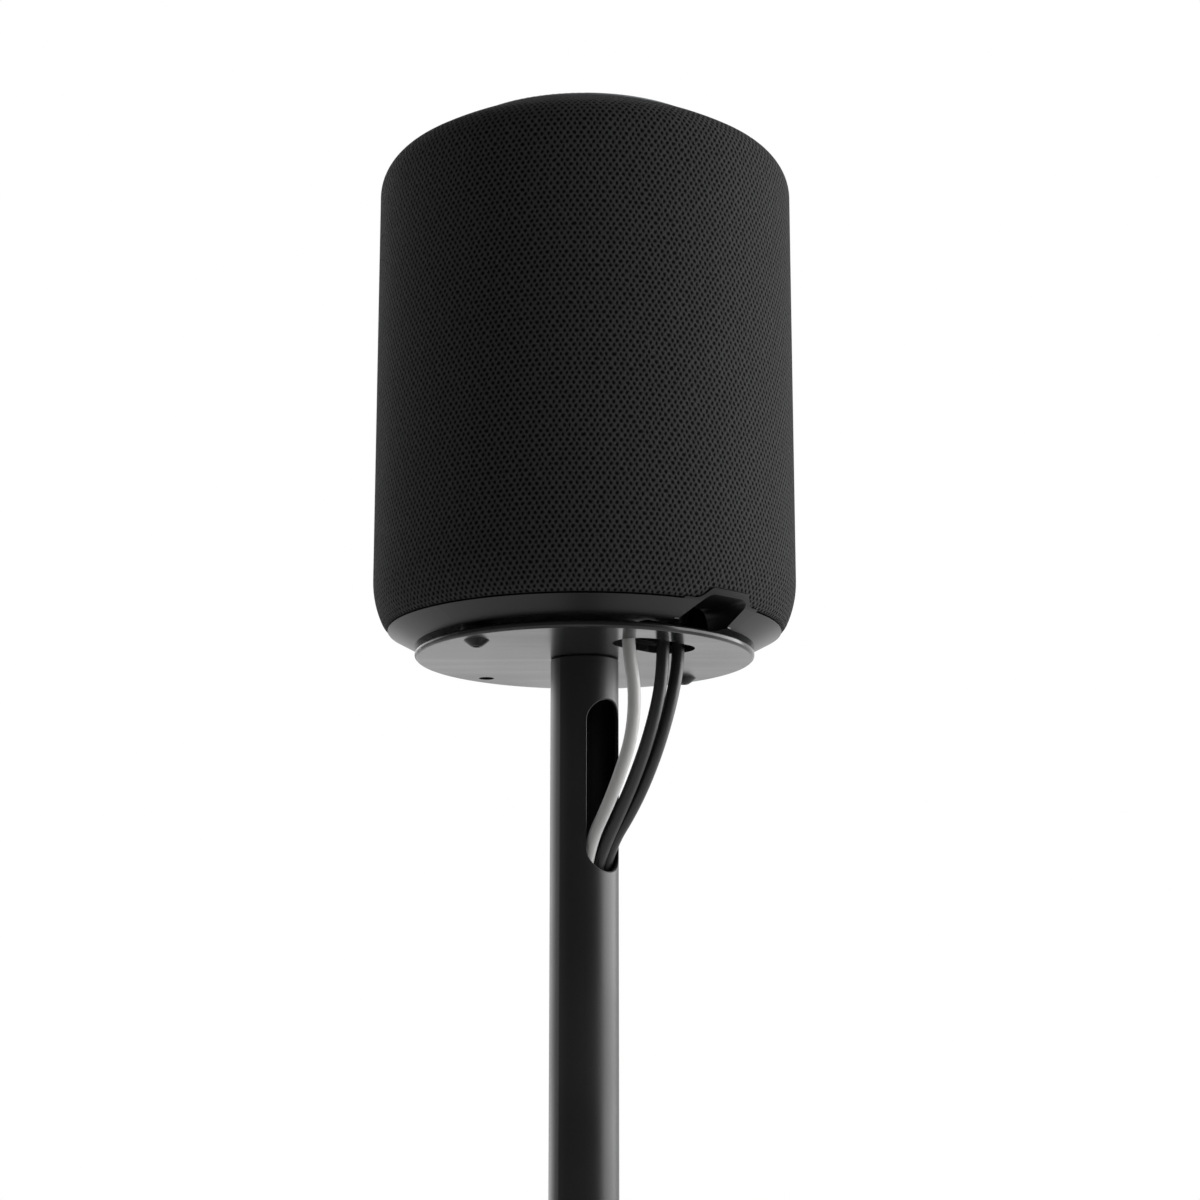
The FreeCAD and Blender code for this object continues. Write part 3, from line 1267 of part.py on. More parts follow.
def wall_plug():
    """A flat two-pin mains plug with a tapered relief for its lead, along +X from the relief's tip."""
    relief = on_x(Part.makeCone(RELIEF_TIP_RADIUS, RELIEF_ROOT_RADIUS, RELIEF_LENGTH))
    start, end = RELIEF_LENGTH, RELIEF_LENGTH + WALL_PLUG_LENGTH
    half, neck = WALL_PLUG_WIDTH / 2, WALL_PLUG_NECK / 2
    low = -WALL_PLUG_HEIGHT / 2
    shoulder = start + WALL_PLUG_TAPER
    outline = [(start, -neck), (shoulder, -half), (end, -half), (end, half), (shoulder, half), (start, neck)]
    body = prism([Vector(x, y, low) for x, y in outline], Vector(0, 0, WALL_PLUG_HEIGHT))
    body = body.makeFillet(WALL_PLUG_EDGE, body.Edges)
    body = body.fuse(relief)
    for y in (-PIN_SPACING / 2, PIN_SPACING / 2):
        pin = Part.makeCylinder(PIN_RADIUS, PIN_LENGTH, Vector(end, y, 0), Vector(1, 0, 0))
        body = body.fuse(pin)
    return body


def jack_plug():
    """A small round plug with a stepped metal tip."""
    end = JACK_BODY_LENGTH + JACK_LENGTH
    return on_x(lathe([
        (0, 0), (CORD_RADIUS + BOOT_MARGIN, 0), (JACK_BODY_RADIUS, JACK_SHOULDER),
        (JACK_BODY_RADIUS, JACK_BODY_LENGTH), (JACK_RADIUS, JACK_BODY_LENGTH),
        (JACK_RADIUS, end - JACK_TIP_LENGTH), (JACK_TIP_RADIUS, end), (0, end),
    ]))


def data_plug():
    """A flat modular plug with its boot."""
    boot = on_x(Part.makeCone(CORD_RADIUS + BOOT_MARGIN, DATA_PLUG_HEIGHT / 2, DATA_BOOT_LENGTH))
    half, low = DATA_PLUG_WIDTH / 2, -DATA_PLUG_HEIGHT / 2
    body = block((DATA_BOOT_LENGTH, -half, low), (DATA_BOOT_LENGTH + DATA_BODY_LENGTH, half, -low))
    return body.fuse(boot)


NODES = {
    "base_feet": base_feet(),
    "base_plate": base_plate(),
    "base_bolt": base_bolt(),
    "lower_insert": lower_insert(),
    "pole": pole(),
    "upper_insert": upper_insert(),
    "top_plate": top_plate(),
    "top_bolt": top_bolt(),
    "speaker_screws": speaker_screws(),
    "screw_washers": screw_washers(),
    "threaded_inserts": threaded_inserts(),
    "speaker_foot": speaker_foot(),
    "speaker_cabinet": speaker_cabinet(),
    "speaker_fabric": speaker_fabric(),
    "cabinet_screws": cabinet_screws(),
    "mains_socket": socket(0),
    "audio_socket": socket(1),
    "data_socket": socket(2),
    "woofer_baffle": woofer_baffle(),
    "woofer_frame": woofer_frame(),
    "woofer_cone": woofer_cone(),
    "woofer_surround": woofer_surround(),
    "woofer_dust_cap": woofer_dust_cap(),
    "woofer_magnet": woofer_magnet(),
    "board_shelf": board_shelf(),
    "main_board": main_board(),
    "heat_sink": heat_sink(),
    "power_board": power_board(),
    "light_ring": light_ring(),
    "top_cap": top_cap(),
    "button_board": button_board(),
    "button_board_screws": button_board_screws(),
}

for name, angle, height, opening, flange, depth in driver_specs():
    NODES[name] = side_driver(angle, height, opening, flange, depth)

for name, (x, y) in zip(BUTTON_NAMES, button_places()):
    NODES[name] = button(x, y)

LEADS = (
    ("mains", MAINS_ROUTE, MAINS_COIL, MAINS_TAIL, wall_plug(), WALL_PLUG_HEIGHT / 2, -90),
    ("audio", AUDIO_ROUTE, AUDIO_COIL, AUDIO_TAIL, jack_plug(), JACK_BODY_RADIUS, 90),
    ("data", DATA_ROUTE, DATA_COIL, DATA_TAIL, data_plug(), DATA_PLUG_HEIGHT / 2, 90),
)
for index, (name, route, coil, tail, far_plug, axis_height, tie_angle) in enumerate(LEADS):
    NODES[f"{name}_lead_plug"] = lead_plug(index)
    NODES[f"{name}_lead"] = lead(to_coil(route, coil), f"{name}_lead")
    NODES[f"{name}_coil"] = coil_tube(coil, f"{name}_coil")
    NODES[f"{name}_tie"] = coil_tie(coil, tie_angle)
    points = tail_points(coil, tail, axis_height)
    NODES[f"{name}_tail"] = lead(points, f"{name}_tail")
    NODES[f"{name}_far_plug"] = laid(far_plug, *tail_end(points))

os.makedirs("parts", exist_ok=True)
for name, shape in NODES.items():
    shape.exportStep(f"parts/{name}.step")
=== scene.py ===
import math

import bmesh
import bpy
from mathutils import Matrix, Vector


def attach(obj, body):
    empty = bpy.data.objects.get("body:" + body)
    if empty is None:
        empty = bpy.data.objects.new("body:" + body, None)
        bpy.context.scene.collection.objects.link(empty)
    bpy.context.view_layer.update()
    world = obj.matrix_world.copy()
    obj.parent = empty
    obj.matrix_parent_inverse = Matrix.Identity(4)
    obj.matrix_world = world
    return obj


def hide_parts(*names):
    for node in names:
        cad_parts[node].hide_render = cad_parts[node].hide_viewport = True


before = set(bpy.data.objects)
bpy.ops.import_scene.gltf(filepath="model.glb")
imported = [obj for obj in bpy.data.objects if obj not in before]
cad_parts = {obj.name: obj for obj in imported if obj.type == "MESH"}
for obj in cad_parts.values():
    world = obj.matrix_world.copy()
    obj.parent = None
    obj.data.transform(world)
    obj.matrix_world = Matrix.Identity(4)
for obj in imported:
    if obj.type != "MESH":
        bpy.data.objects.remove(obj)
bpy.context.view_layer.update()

# Feet
# Six round rubber pads, moulded black, stuck under the rim of the base.
# They keep the steel off the floor by three millimetres.


def finish(name, color, roughness, metallic=0.0):
    material = bpy.data.materials.new(name)
    material.use_nodes = True
    tree = material.node_tree
    shader = tree.nodes["Principled BSDF"]
    shader.inputs["Base Color"].default_value = (*color, 1)
    shader.inputs["Roughness"].default_value = roughness
    shader.inputs["Metallic"].default_value = metallic
    return material, tree, shader


def object_noise(tree, scale, detail=3.0, stretch=(1, 1, 1)):
    """Noise that lies still on the piece, drawn out along the axes where stretch is small."""
    place = tree.nodes.new("ShaderNodeTexCoord")
    mapping = tree.nodes.new("ShaderNodeMapping")
    noise = tree.nodes.new("ShaderNodeTexNoise")
    mapping.inputs["Scale"].default_value = stretch
    noise.inputs["Scale"].default_value = scale
    noise.inputs["Detail"].default_value = detail
    tree.links.new(place.outputs["Object"], mapping.inputs["Vector"])
    tree.links.new(mapping.outputs["Vector"], noise.inputs["Vector"])
    return noise.outputs["Fac"]


def remap(tree, value, low, high, start=0.35, stop=0.65):
    node = tree.nodes.new("ShaderNodeMapRange")
    node.inputs["From Min"].default_value = start
    node.inputs["From Max"].default_value = stop
    node.inputs["To Min"].default_value = low
    node.inputs["To Max"].default_value = high
    tree.links.new(value, node.inputs["Value"])
    return node.outputs["Result"]


def tint(tree, shader, factor, first, second):
    mix = tree.nodes.new("ShaderNodeMix")
    mix.data_type = "RGBA"
    mix.inputs[6].default_value = (*first, 1)
    mix.inputs[7].default_value = (*second, 1)
    tree.links.new(factor, mix.inputs[0])
    tree.links.new(mix.outputs[2], shader.inputs["Base Color"])


def relief(tree, shader, height, depth, strength=1.0):
    bump = tree.nodes.new("ShaderNodeBump")
    bump.inputs["Distance"].default_value = depth
    bump.inputs["Strength"].default_value = strength
    tree.links.new(height, bump.inputs["Height"])
    tree.links.new(bump.outputs["Normal"], shader.inputs["Normal"])


def dress(material, *nodes):
    for node in nodes:
        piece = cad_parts[node]
        if not piece.material_slots:
            piece.data.materials.append(material)
        for slot in piece.material_slots:
            slot.material = material


foot_rubber, tree, shader = finish("foot_rubber", (0.022, 0.022, 0.022), 0.75)
tint(tree, shader, remap(tree, object_noise(tree, 60), 0, 1), (0.018, 0.018, 0.018), (0.034, 0.033, 0.032))
relief(tree, shader, object_noise(tree, 2500), 0.00008)
dress(foot_rubber, "base_feet")

# Base and pole
# A turned steel disc and a drawn steel tube with two cut cable slots, both in satin black powder coat.
# The coat is baked on, so it has a faint orange peel and a little unevenness in its gloss.


def powder_coat(name, color, roughness, gloss=0.6):
    material, tree, shader = finish(name, color, roughness)
    shader.inputs["Specular IOR Level"].default_value = gloss
    cloud = object_noise(tree, 14, 2)
    lighter = [c * 1.5 for c in color]
    tint(tree, shader, remap(tree, cloud, 0, 1), color, lighter)
    tree.links.new(remap(tree, cloud, roughness - 0.03, roughness + 0.04), shader.inputs["Roughness"])
    relief(tree, shader, object_noise(tree, 900, 2), 0.00002, 0.5)
    return material, tree, shader


black_coat = powder_coat("black_powder_coat", (0.006, 0.006, 0.0063), 0.38)[0]
dress(black_coat, "base_plate", "pole")

# Bolts, inserts and washers
# Black oxide bolts and screws, turned steel plugs in the tube's ends, brass inserts in the speaker's foot.
# The bolts pull the base and the plate against the tube, and the screws hold the speaker.
oxide, tree, shader = finish("black_oxide", (0.01, 0.01, 0.011), 0.3)
shader.inputs["Specular IOR Level"].default_value = 0.25
relief(tree, shader, object_noise(tree, 1800), 0.00002)
dress(oxide, "base_bolt", "top_bolt", "speaker_screws", "cabinet_screws", "screw_washers")
turned_steel, tree, shader = finish("turned_steel", (0.55, 0.55, 0.56), 0.28, 1.0)
relief(tree, shader, object_noise(tree, 900, 2, (0.02, 0.02, 4)), 0.00002)
dress(turned_steel, "lower_insert", "upper_insert", "button_board_screws")
brass, tree, shader = finish("insert_brass", (0.72, 0.52, 0.22), 0.3, 1.0)
relief(tree, shader, object_noise(tree, 900, 2, (1, 1, 0.05)), 0.00003)
dress(brass, "threaded_inserts")

# Plate
# A round steel plate with a rounded rim, in the same coat, rolled smoother on its underside.
# Three holes and the cable slot are cut before it is coated.
plate_coat, tree, shader = powder_coat("plate_powder_coat", (0.012, 0.012, 0.0125), 0.2, 0.45)
STREAK_ANGLE = 45
STREAK_LENGTH = 20
streaks = object_noise(tree, 90)
streaks.node.inputs["Roughness"].default_value = 0.6
turn = streaks.node.inputs["Vector"].links[0].from_node
turn.vector_type = "TEXTURE"
turn.inputs["Rotation"].default_value = (0, 0, math.radians(STREAK_ANGLE))
turn.inputs["Scale"].default_value = (1, STREAK_LENGTH, 1)
relief(tree, shader, streaks, 0.0002, 0.6)
tree.links.new(remap(tree, streaks, 0.36, 0.54), shader.inputs["Specular IOR Level"])
dress(plate_coat, "top_plate")

# Foot of the speaker
# One black moulding: a conical ring, a raised frame round the cable notch, and the recess for the plugs.
# It has a fine spark texture that looks satin.
foot_plastic, tree, shader = finish("foot_plastic", (0.006, 0.006, 0.0063), 0.3)
shader.inputs["Specular IOR Level"].default_value = 0.3
relief(tree, shader, object_noise(tree, 3000, 2), 0.00002, 0.6)
dress(foot_plastic, "speaker_foot")

# Cabinet and its inside
# A moulded shell with the woofer below, three mid drivers and a tweeter behind the fabric, and the boards.
# None of it shows on the closed speaker, apart from the sockets in the recess.
inner_plastic, tree, shader = finish("cabinet_plastic", (0.03, 0.03, 0.03), 0.55)
relief(tree, shader, object_noise(tree, 2000), 0.00005)
dress(inner_plastic, "speaker_cabinet", "woofer_baffle", "board_shelf",
      "mains_socket", "audio_socket", "data_socket")
cone_paper, tree, shader = finish("cone_paper", (0.045, 0.043, 0.04), 0.85)
relief(tree, shader, object_noise(tree, 1500, 5), 0.0001)
dress(cone_paper, "woofer_cone", "woofer_dust_cap",
      "mid_driver_left", "mid_driver_right", "mid_driver_front", "tweeter")
roll_rubber, tree, shader = finish("roll_rubber", (0.015, 0.015, 0.015), 0.5)
relief(tree, shader, object_noise(tree, 1200), 0.00004)
dress(roll_rubber, "woofer_surround")
frame_steel, tree, shader = finish("frame_steel", (0.04, 0.04, 0.042), 0.45, 0.5)
relief(tree, shader, object_noise(tree, 1200), 0.00004)
dress(frame_steel, "woofer_frame")
ferrite, tree, shader = finish("ferrite", (0.06, 0.06, 0.065), 0.5, 0.4)
relief(tree, shader, object_noise(tree, 700, 5), 0.00008)
dress(ferrite, "woofer_magnet")
circuit_green, tree, shader = finish("circuit_green", (0.015, 0.09, 0.045), 0.35)
tracks = remap(tree, object_noise(tree, 300, 0, (1, 0.1, 1)), 0, 1, 0.5, 0.52)
tint(tree, shader, tracks, (0.012, 0.08, 0.04), (0.02, 0.13, 0.065))
dress(circuit_green, "main_board", "power_board", "button_board")
extrusion, tree, shader = finish("aluminium_extrusion", (0.62, 0.63, 0.65), 0.35, 1.0)
relief(tree, shader, object_noise(tree, 700, 3, (1, 0.04, 1)), 0.00004)
dress(extrusion, "heat_sink")

# Fabric sleeve
# A tight knitted tube drawn over the cabinet, turned in at the hem and at the crown, black on black.
# Its stitches leave small holes in offset rows, and it is cut out round the frame of the notch. The holes are
# coloured near-black as painted shade, and the yarn's crests are lighter as painted highlights.
SPEAKER_BOTTOM = 0.765
SIDE = 0.0875
HEM, HEM_ANGLE = 0.0076, 57.5
SWEEP, SWEEP_ANGLE = 0.040, 25.0
SHOULDER, SHOULDER_ANGLE = 0.0158, 57.0
CROWN, CROWN_ANGLE = 0.147, 66.0
SIDE_LENGTH = 0.1673
SEAM = 0.0067
FABRIC_WALL = 0.0015
SLEEVE_SEGMENTS = 256
STITCH_COLUMNS = 212
STITCH_ROW = 0.0019
STITCH_DEPTH = 0.0008
NEARLY = 0.00001
# As shares of a stitch: how far it strays, where its hole ends and the yarn begins, and how tall the hole is.
STRAY = 0.16
HOLE_END, YARN_START = 0.13, 0.31
HOLE_FLATTENING = 0.36
# As radians per stitch, across and along.
STRAND_SLANT, STRAND_COUNT = 22, 18.85


def sine(angle):
    return math.sin(math.radians(angle))


def cosine(angle):
    return math.cos(math.radians(angle))


def sleeve_profile():
    """Points down the middle of the speaker's outline, from hem to crown."""
    low = SPEAKER_BOTTOM + SEAM + SWEEP * sine(SWEEP_ANGLE) + HEM * (sine(HEM_ANGLE) - sine(SWEEP_ANGLE))
    high = low + SIDE_LENGTH
    sweep = Vector((SIDE - SWEEP, 0, low))
    hem = sweep + Vector((cosine(SWEEP_ANGLE), 0, -sine(SWEEP_ANGLE))) * (SWEEP - HEM)
    shoulder = Vector((SIDE - SHOULDER, 0, high))
    crown = shoulder - Vector((cosine(SHOULDER_ANGLE), 0, sine(SHOULDER_ANGLE))) * (CROWN - SHOULDER)
    points = []
    for centre, radius, start, end, steps in (
        (hem, HEM, -HEM_ANGLE, -SWEEP_ANGLE, 6),
        (sweep, SWEEP, -SWEEP_ANGLE, 0, 8),
        (shoulder, SHOULDER, 0, SHOULDER_ANGLE, 12),
        (crown, CROWN, SHOULDER_ANGLE, CROWN_ANGLE, 8),
    ):
        for k in range(steps + 1):
            angle = start + (end - start) * k / steps
            point = centre + Vector((cosine(angle), 0, sine(angle))) * radius
            if not points or (point - points[-1]).length > NEARLY:
                points.append(point)
    return points


def new_piece(name, mesh, material, *stands_for):
    data = bpy.data.meshes.new(name)
    mesh.to_mesh(data)
    mesh.free()
    piece = bpy.data.objects.new(name, data)
    bpy.context.scene.collection.objects.link(piece)
    data.materials.append(material)
    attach(piece, "stand")
    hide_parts(*stands_for)
    return piece


mesh = bmesh.new()
profile = sleeve_profile()
corners = [mesh.verts.new(p) for p in profile]
chain = [mesh.edges.new(pair) for pair in zip(corners, corners[1:])]
bmesh.ops.spin(mesh, geom=corners + chain, cent=(0, 0, 0), axis=(0, 0, 1), angle=math.tau,
               steps=SLEEVE_SEGMENTS, use_merge=True)
bmesh.ops.remove_doubles(mesh, verts=mesh.verts, dist=0.000001)
bmesh.ops.recalc_face_normals(mesh, faces=mesh.faces)
climb = {}
total = 0.0
for before, after in zip(profile, profile[1:]):
    climb[before.z] = total
    total += (after - before).length
climb[profile[-1].z] = total
heights = sorted(climb)


def length_up(z):
    """How far along the sleeve's outline a height lies."""
    for low, high in zip(heights, heights[1:]):
        if z <= high:
            return climb[low] + (climb[high] - climb[low]) * (z - low) / (high - low)
    return total


sheet_map = mesh.loops.layers.uv.new("stitches")
for face in mesh.faces:
    face.smooth = True
    centre = face.calc_center_median()
    middle = math.atan2(centre.y, centre.x)
    for corner in face.loops:
        angle = math.atan2(corner.vert.co.y, corner.vert.co.x)
        angle += math.tau * round((middle - angle) / math.tau)
        corner[sheet_map].uv = (angle / math.tau, length_up(corner.vert.co.z))


def math_node(tree, operation, first, second=None):
    node = tree.nodes.new("ShaderNodeMath")
    node.operation = operation
    for socket, value in zip(node.inputs, (first, second)):
        if isinstance(value, (int, float)):
            socket.default_value = value
        elif value is not None:
            tree.links.new(value, socket)
    return node.outputs[0]


knit, tree, shader = finish("knit_fabric", (0.034, 0.034, 0.035), 0.7)
shader.inputs["Specular IOR Level"].default_value = 0.03
uv = tree.nodes.new("ShaderNodeUVMap")
uv.uv_map = "stitches"
split = tree.nodes.new("ShaderNodeSeparateXYZ")
tree.links.new(uv.outputs["UV"], split.inputs["Vector"])
rows = math_node(tree, "DIVIDE", split.outputs["Y"], STITCH_ROW)
shift = math_node(tree, "MULTIPLY", math_node(tree, "MODULO", math_node(tree, "FLOOR", rows), 2), 0.5)
slack = remap(tree, object_noise(tree, 260, 1), -STRAY, STRAY, 0.3, 0.7)
columns = math_node(tree, "ADD", math_node(tree, "MULTIPLY", split.outputs["X"], STITCH_COLUMNS), shift)
across = math_node(tree, "SUBTRACT", math_node(tree, "FRACT", math_node(tree, "ADD", columns, 1000)),
                   math_node(tree, "ADD", slack, 0.5))
along = math_node(tree, "SUBTRACT", math_node(tree, "FRACT", rows), 0.5)
along_squared = math_node(tree, "MULTIPLY", math_node(tree, "MULTIPLY", along, along), HOLE_FLATTENING)
squares = math_node(tree, "ADD", math_node(tree, "MULTIPLY", across, across), along_squared)
yarn = remap(tree, math_node(tree, "SQRT", squares), 0, 1, HOLE_END, YARN_START)
aside = math_node(tree, "ABSOLUTE", across)
rib = remap(tree, aside, 0.72, 1.0, 0.1, 0.5)
turns = math_node(tree, "ADD", math_node(tree, "MULTIPLY", aside, STRAND_SLANT),
                  math_node(tree, "MULTIPLY", along, STRAND_COUNT))
strands = remap(tree, math_node(tree, "SINE", turns), 0.72, 1.0, -1, 1)
fuzz = remap(tree, object_noise(tree, 1800, 2), 0.75, 1.0)
height = math_node(tree, "MULTIPLY", math_node(tree, "MULTIPLY", yarn, rib),
                   math_node(tree, "MULTIPLY", strands, fuzz))
# The colour runs from near-black in the holes, which is painted shade, to a lighter grey on the ribs and
# strand crests, which are painted highlights; between them lies the yarn's own dark tone.
tint(tree, shader, height, (0.0025, 0.0025, 0.0026), (0.088, 0.088, 0.0895))
relief(tree, shader, height, STITCH_DEPTH)
sleeve = new_piece("fabric_sleeve", mesh, knit, "speaker_fabric")
wall = sleeve.modifiers.new("wall", "SOLIDIFY")
wall.thickness = FABRIC_WALL
wall.offset = -1
FRAME_X = 0.0032
FRAME_HALF_FOOT, FRAME_HALF_WAIST, FRAME_HALF_TOP = 0.0203, 0.0143, 0.0098
FRAME_START, FRAME_WAIST, FRAME_TOP = -0.001, 0.007, 0.0111
WAIST_TRIM, TOP_TRIM = 0.00155, 0.00116
CUT_FROM, CUT_DEPTH = 0.055, 0.06


def vertices(geometry):
    return [part for part in geometry if isinstance(part, bmesh.types.BMVert)]


def runs_inward(edge, level):
    """Whether an edge of the cutter lies at a height, runs inward and isn't at the frame's foot."""
    first, second = (v.co for v in edge.verts)
    middle = (FRAME_HALF_WAIST + FRAME_HALF_FOOT) / 2
    return (abs(first.z - level) < NEARLY and abs(second.z - level) < NEARLY
            and abs(first.y - second.y) > CUT_DEPTH / 2 and abs(first.x - FRAME_X) < middle)


mesh = bmesh.new()
half = [(FRAME_HALF_FOOT, FRAME_START), (FRAME_HALF_FOOT, FRAME_WAIST),
        (FRAME_HALF_WAIST, FRAME_WAIST), (FRAME_HALF_TOP, FRAME_TOP)]
outline = half + [(-x, z) for x, z in reversed(half)]
corners = [mesh.verts.new((FRAME_X + x, CUT_FROM, SPEAKER_BOTTOM + z)) for x, z in outline]
opening = mesh.faces.new(corners)
swept = bmesh.ops.extrude_face_region(mesh, geom=[opening])["geom"]
bmesh.ops.translate(mesh, vec=(0, CUT_DEPTH, 0), verts=vertices(swept))
for up, trim in ((FRAME_WAIST, WAIST_TRIM), (FRAME_TOP, TOP_TRIM)):
    sharp = [edge for edge in mesh.edges if runs_inward(edge, SPEAKER_BOTTOM + up)]
    bmesh.ops.bevel(mesh, geom=sharp, offset=trim, segments=6, profile=0.5, affect="EDGES", material=-1)
bmesh.ops.recalc_face_normals(mesh, faces=mesh.faces)
data = bpy.data.meshes.new("notch_cutter")
mesh.to_mesh(data)
mesh.free()
cutter = bpy.data.objects.new("notch_cutter", data)
bpy.context.scene.collection.objects.link(cutter)
notch = sleeve.modifiers.new("notch", "BOOLEAN")
notch.solver = "EXACT"
notch.object = cutter
finished = sleeve.evaluated_get(bpy.context.evaluated_depsgraph_get())
cut_sleeve = bpy.data.meshes.new_from_object(finished)
sleeve.modifiers.clear()
sleeve.data = cut_sleeve
bpy.data.objects.remove(cutter)

# Top of the speaker
# A satin disc with four round keys, inside a clear ring that the lamps behind it shine through.
# The disc is pressed into the ring, and the keys rest on switches below it.
satin_plastic, tree, shader = finish("cap_plastic", (0.014, 0.014, 0.0145), 0.32)
relief(tree, shader, object_noise(tree, 2600, 2), 0.00002, 0.6)
dress(satin_plastic, "top_cap")
key_plastic, tree, shader = finish("button_plastic", (0.022, 0.022, 0.023), 0.4)
relief(tree, shader, object_noise(tree, 2600, 2), 0.00003, 0.6)
dress(key_plastic, "volume_up_button", "action_button", "volume_down_button", "mute_button")
clear_ring, tree, shader = finish("clear_ring", (0.22, 0.235, 0.25), 0.16)
shader.inputs["Coat Weight"].default_value = 0.6
relief(tree, shader, object_noise(tree, 400, 1), 0.00002, 0.4)
dress(clear_ring, "light_ring")

# Straps
# A woven hook strap is closed round each coil, with its free end pressed down on top.
# It is ten millimetres wide and one thick.

# The values of the straps and the leads are in millimetres, as in the part's source.
CORD = 5.3
COIL_PITCH, COIL_LEAST, COIL_HIGH = 6.0, 22.5, 9.9
STRAP_WIDTH, STRAP_THICKNESS, STRAP_CORNER = 10.0, 1.0, 3.0
STRAP_CLEAR = 0.35
FLAT = 0.0001
FLAP_LENGTH, FLAP_WIDTH, FLAP_THICKNESS, FLAP_CORNER = 20.0, 9.6, 0.8, 3.5

strap_weave, tree, shader = finish("strap_weave", (0.02, 0.02, 0.02), 0.8)
threads = object_noise(tree, 900, 1, (1, 1, 0.3))
tint(tree, shader, remap(tree, threads, 0, 1), (0.012, 0.012, 0.012), (0.032, 0.032, 0.032))
relief(tree, shader, threads, 0.0003)


def round_corners(mesh, corners, radius):
    bmesh.ops.bevel(mesh, geom=corners, offset=radius, segments=5, profile=0.5,
                    affect="VERTICES", material=-1)


def make_strap(name, coil, angle):
    """A band over and under the bundle, round at its corners, turned about the coil's centre."""
    centre, turns = coil[0], coil[3]
    mesh = bmesh.new()
    inner = math.sqrt((COIL_LEAST - CORD / 2) ** 2 - (STRAP_WIDTH / 2) ** 2)
    near = inner - STRAP_CLEAR - STRAP_THICKNESS
    far = COIL_LEAST + COIL_PITCH * turns / 2 + CORD / 2 + STRAP_CLEAR + STRAP_THICKNESS
    top = COIL_HIGH + CORD / 2 + STRAP_CLEAR + STRAP_THICKNESS
    section = ((near, 0), (far, 0), (far, top), (near, top))
    corners = [mesh.verts.new((x, -STRAP_WIDTH / 2, z)) for x, z in section]
    mesh.faces.new(corners)
    round_corners(mesh, corners, STRAP_CORNER)
    mesh.faces.ensure_lookup_table()
    side = mesh.faces[0]
    band = bmesh.ops.extrude_edge_only(mesh, edges=side.edges)["geom"]
    bmesh.ops.translate(mesh, vec=(0, STRAP_WIDTH, 0), verts=vertices(band))
    bmesh.ops.delete(mesh, geom=[side], context="FACES_ONLY")
    bmesh.ops.recalc_face_normals(mesh, faces=mesh.faces)
    bmesh.ops.solidify(mesh, geom=mesh.faces, thickness=STRAP_THICKNESS)
    end = far - STRAP_CORNER
    start = end - FLAP_LENGTH
    edge = FLAP_WIDTH / 2
    sheet = ((start, -edge), (end, -edge), (end, edge), (start, edge))
    flap = [mesh.verts.new((x, y, top)) for x, y in sheet]
    mesh.faces.new(flap)
    round_corners(mesh, [flap[0], flap[3]], FLAP_CORNER)
    tongue = [face for face in mesh.faces
              if all(abs(v.co.z - top) < FLAT and abs(v.co.y) < edge + FLAT for v in face.verts)]
    raised = bmesh.ops.extrude_face_region(mesh, geom=tongue)["geom"]
    bmesh.ops.translate(mesh, vec=(0, 0, FLAP_THICKNESS), verts=vertices(raised))
    bmesh.ops.recalc_face_normals(mesh, faces=mesh.faces)
    turn = Matrix.Rotation(math.radians(angle), 3, "Z")
    bmesh.ops.rotate(mesh, cent=(0, 0, 0), matrix=turn, verts=mesh.verts)
    bmesh.ops.translate(mesh, vec=(*centre, 0), verts=mesh.verts)
    bmesh.ops.scale(mesh, vec=(0.001, 0.001, 0.001), verts=mesh.verts)
    strap = new_piece(name, mesh, strap_weave, name.replace("strap", "tie"))
    return strap


# Leads
# Three round leads with soft sheaths: black mains, black audio and white data, 5.3 mm thick.
# Each hangs from its plug, runs down inside the tube and ends in a tied coil behind the base.
COIL_LAYER = 5.9
LAYER_TURNS = 0.5
POINTS_PER_TURN = 16
RUN_IN = 18.0
SMALL_TURN = 0.002


def sheath(name, color, roughness):
    material, tree, shader = finish(name, color, roughness)
    tree.links.new(remap(tree, object_noise(tree, 40, 2), roughness - 0.05, roughness + 0.05),
                   shader.inputs["Roughness"])
    relief(tree, shader, object_noise(tree, 1400, 2), 0.00002, 0.5)
    return material


black_sheath = sheath("black_sheath", (0.015, 0.015, 0.0155), 0.38)
white_sheath = sheath("white_sheath", (0.52, 0.52, 0.51), 0.45)
black_plug = sheath("black_plug", (0.016, 0.016, 0.0165), 0.42)
white_plug = sheath("white_plug", (0.52, 0.52, 0.51), 0.45)


def coil_spot(centre, start, way, turns, turn):
    angle = math.radians(start + 360 * way * turn)
    radius = COIL_LEAST + COIL_PITCH * abs(turn - turns / 2)
    drop = min(max((turn - turns / 2) / LAYER_TURNS + 0.5, 0), 1)
    return Vector((centre[0] + radius * math.cos(angle), centre[1] + radius * math.sin(angle),
                   COIL_HIGH - COIL_LAYER * drop))


def lead_points(route, coil, tail, axis_height):
    """The route, the turns of the coil and the tail, in millimetres."""
    way, turns = coil[2:]
    steps = round(turns * POINTS_PER_TURN)
    spots = [coil_spot(*coil, turns * k / steps) for k in range(steps + 1)]
    lead_in = (spots[0] - coil_spot(*coil, SMALL_TURN)).normalized()
    ahead = (coil_spot(*coil, turns) - coil_spot(*coil, turns - SMALL_TURN)).normalized()
    first = spots[0] + lead_in * CORD
    last = spots[-1] + ahead * CORD
    outward = Vector((-ahead.y, ahead.x, 0)) * -way
    ends = [last + ahead * step + outward * aside for step, aside in tail]
    for point in ends[1:]:
        point.z = axis_height
    return [Vector(p) for p in route] + [first + lead_in * RUN_IN, first] + spots + [last] + ends


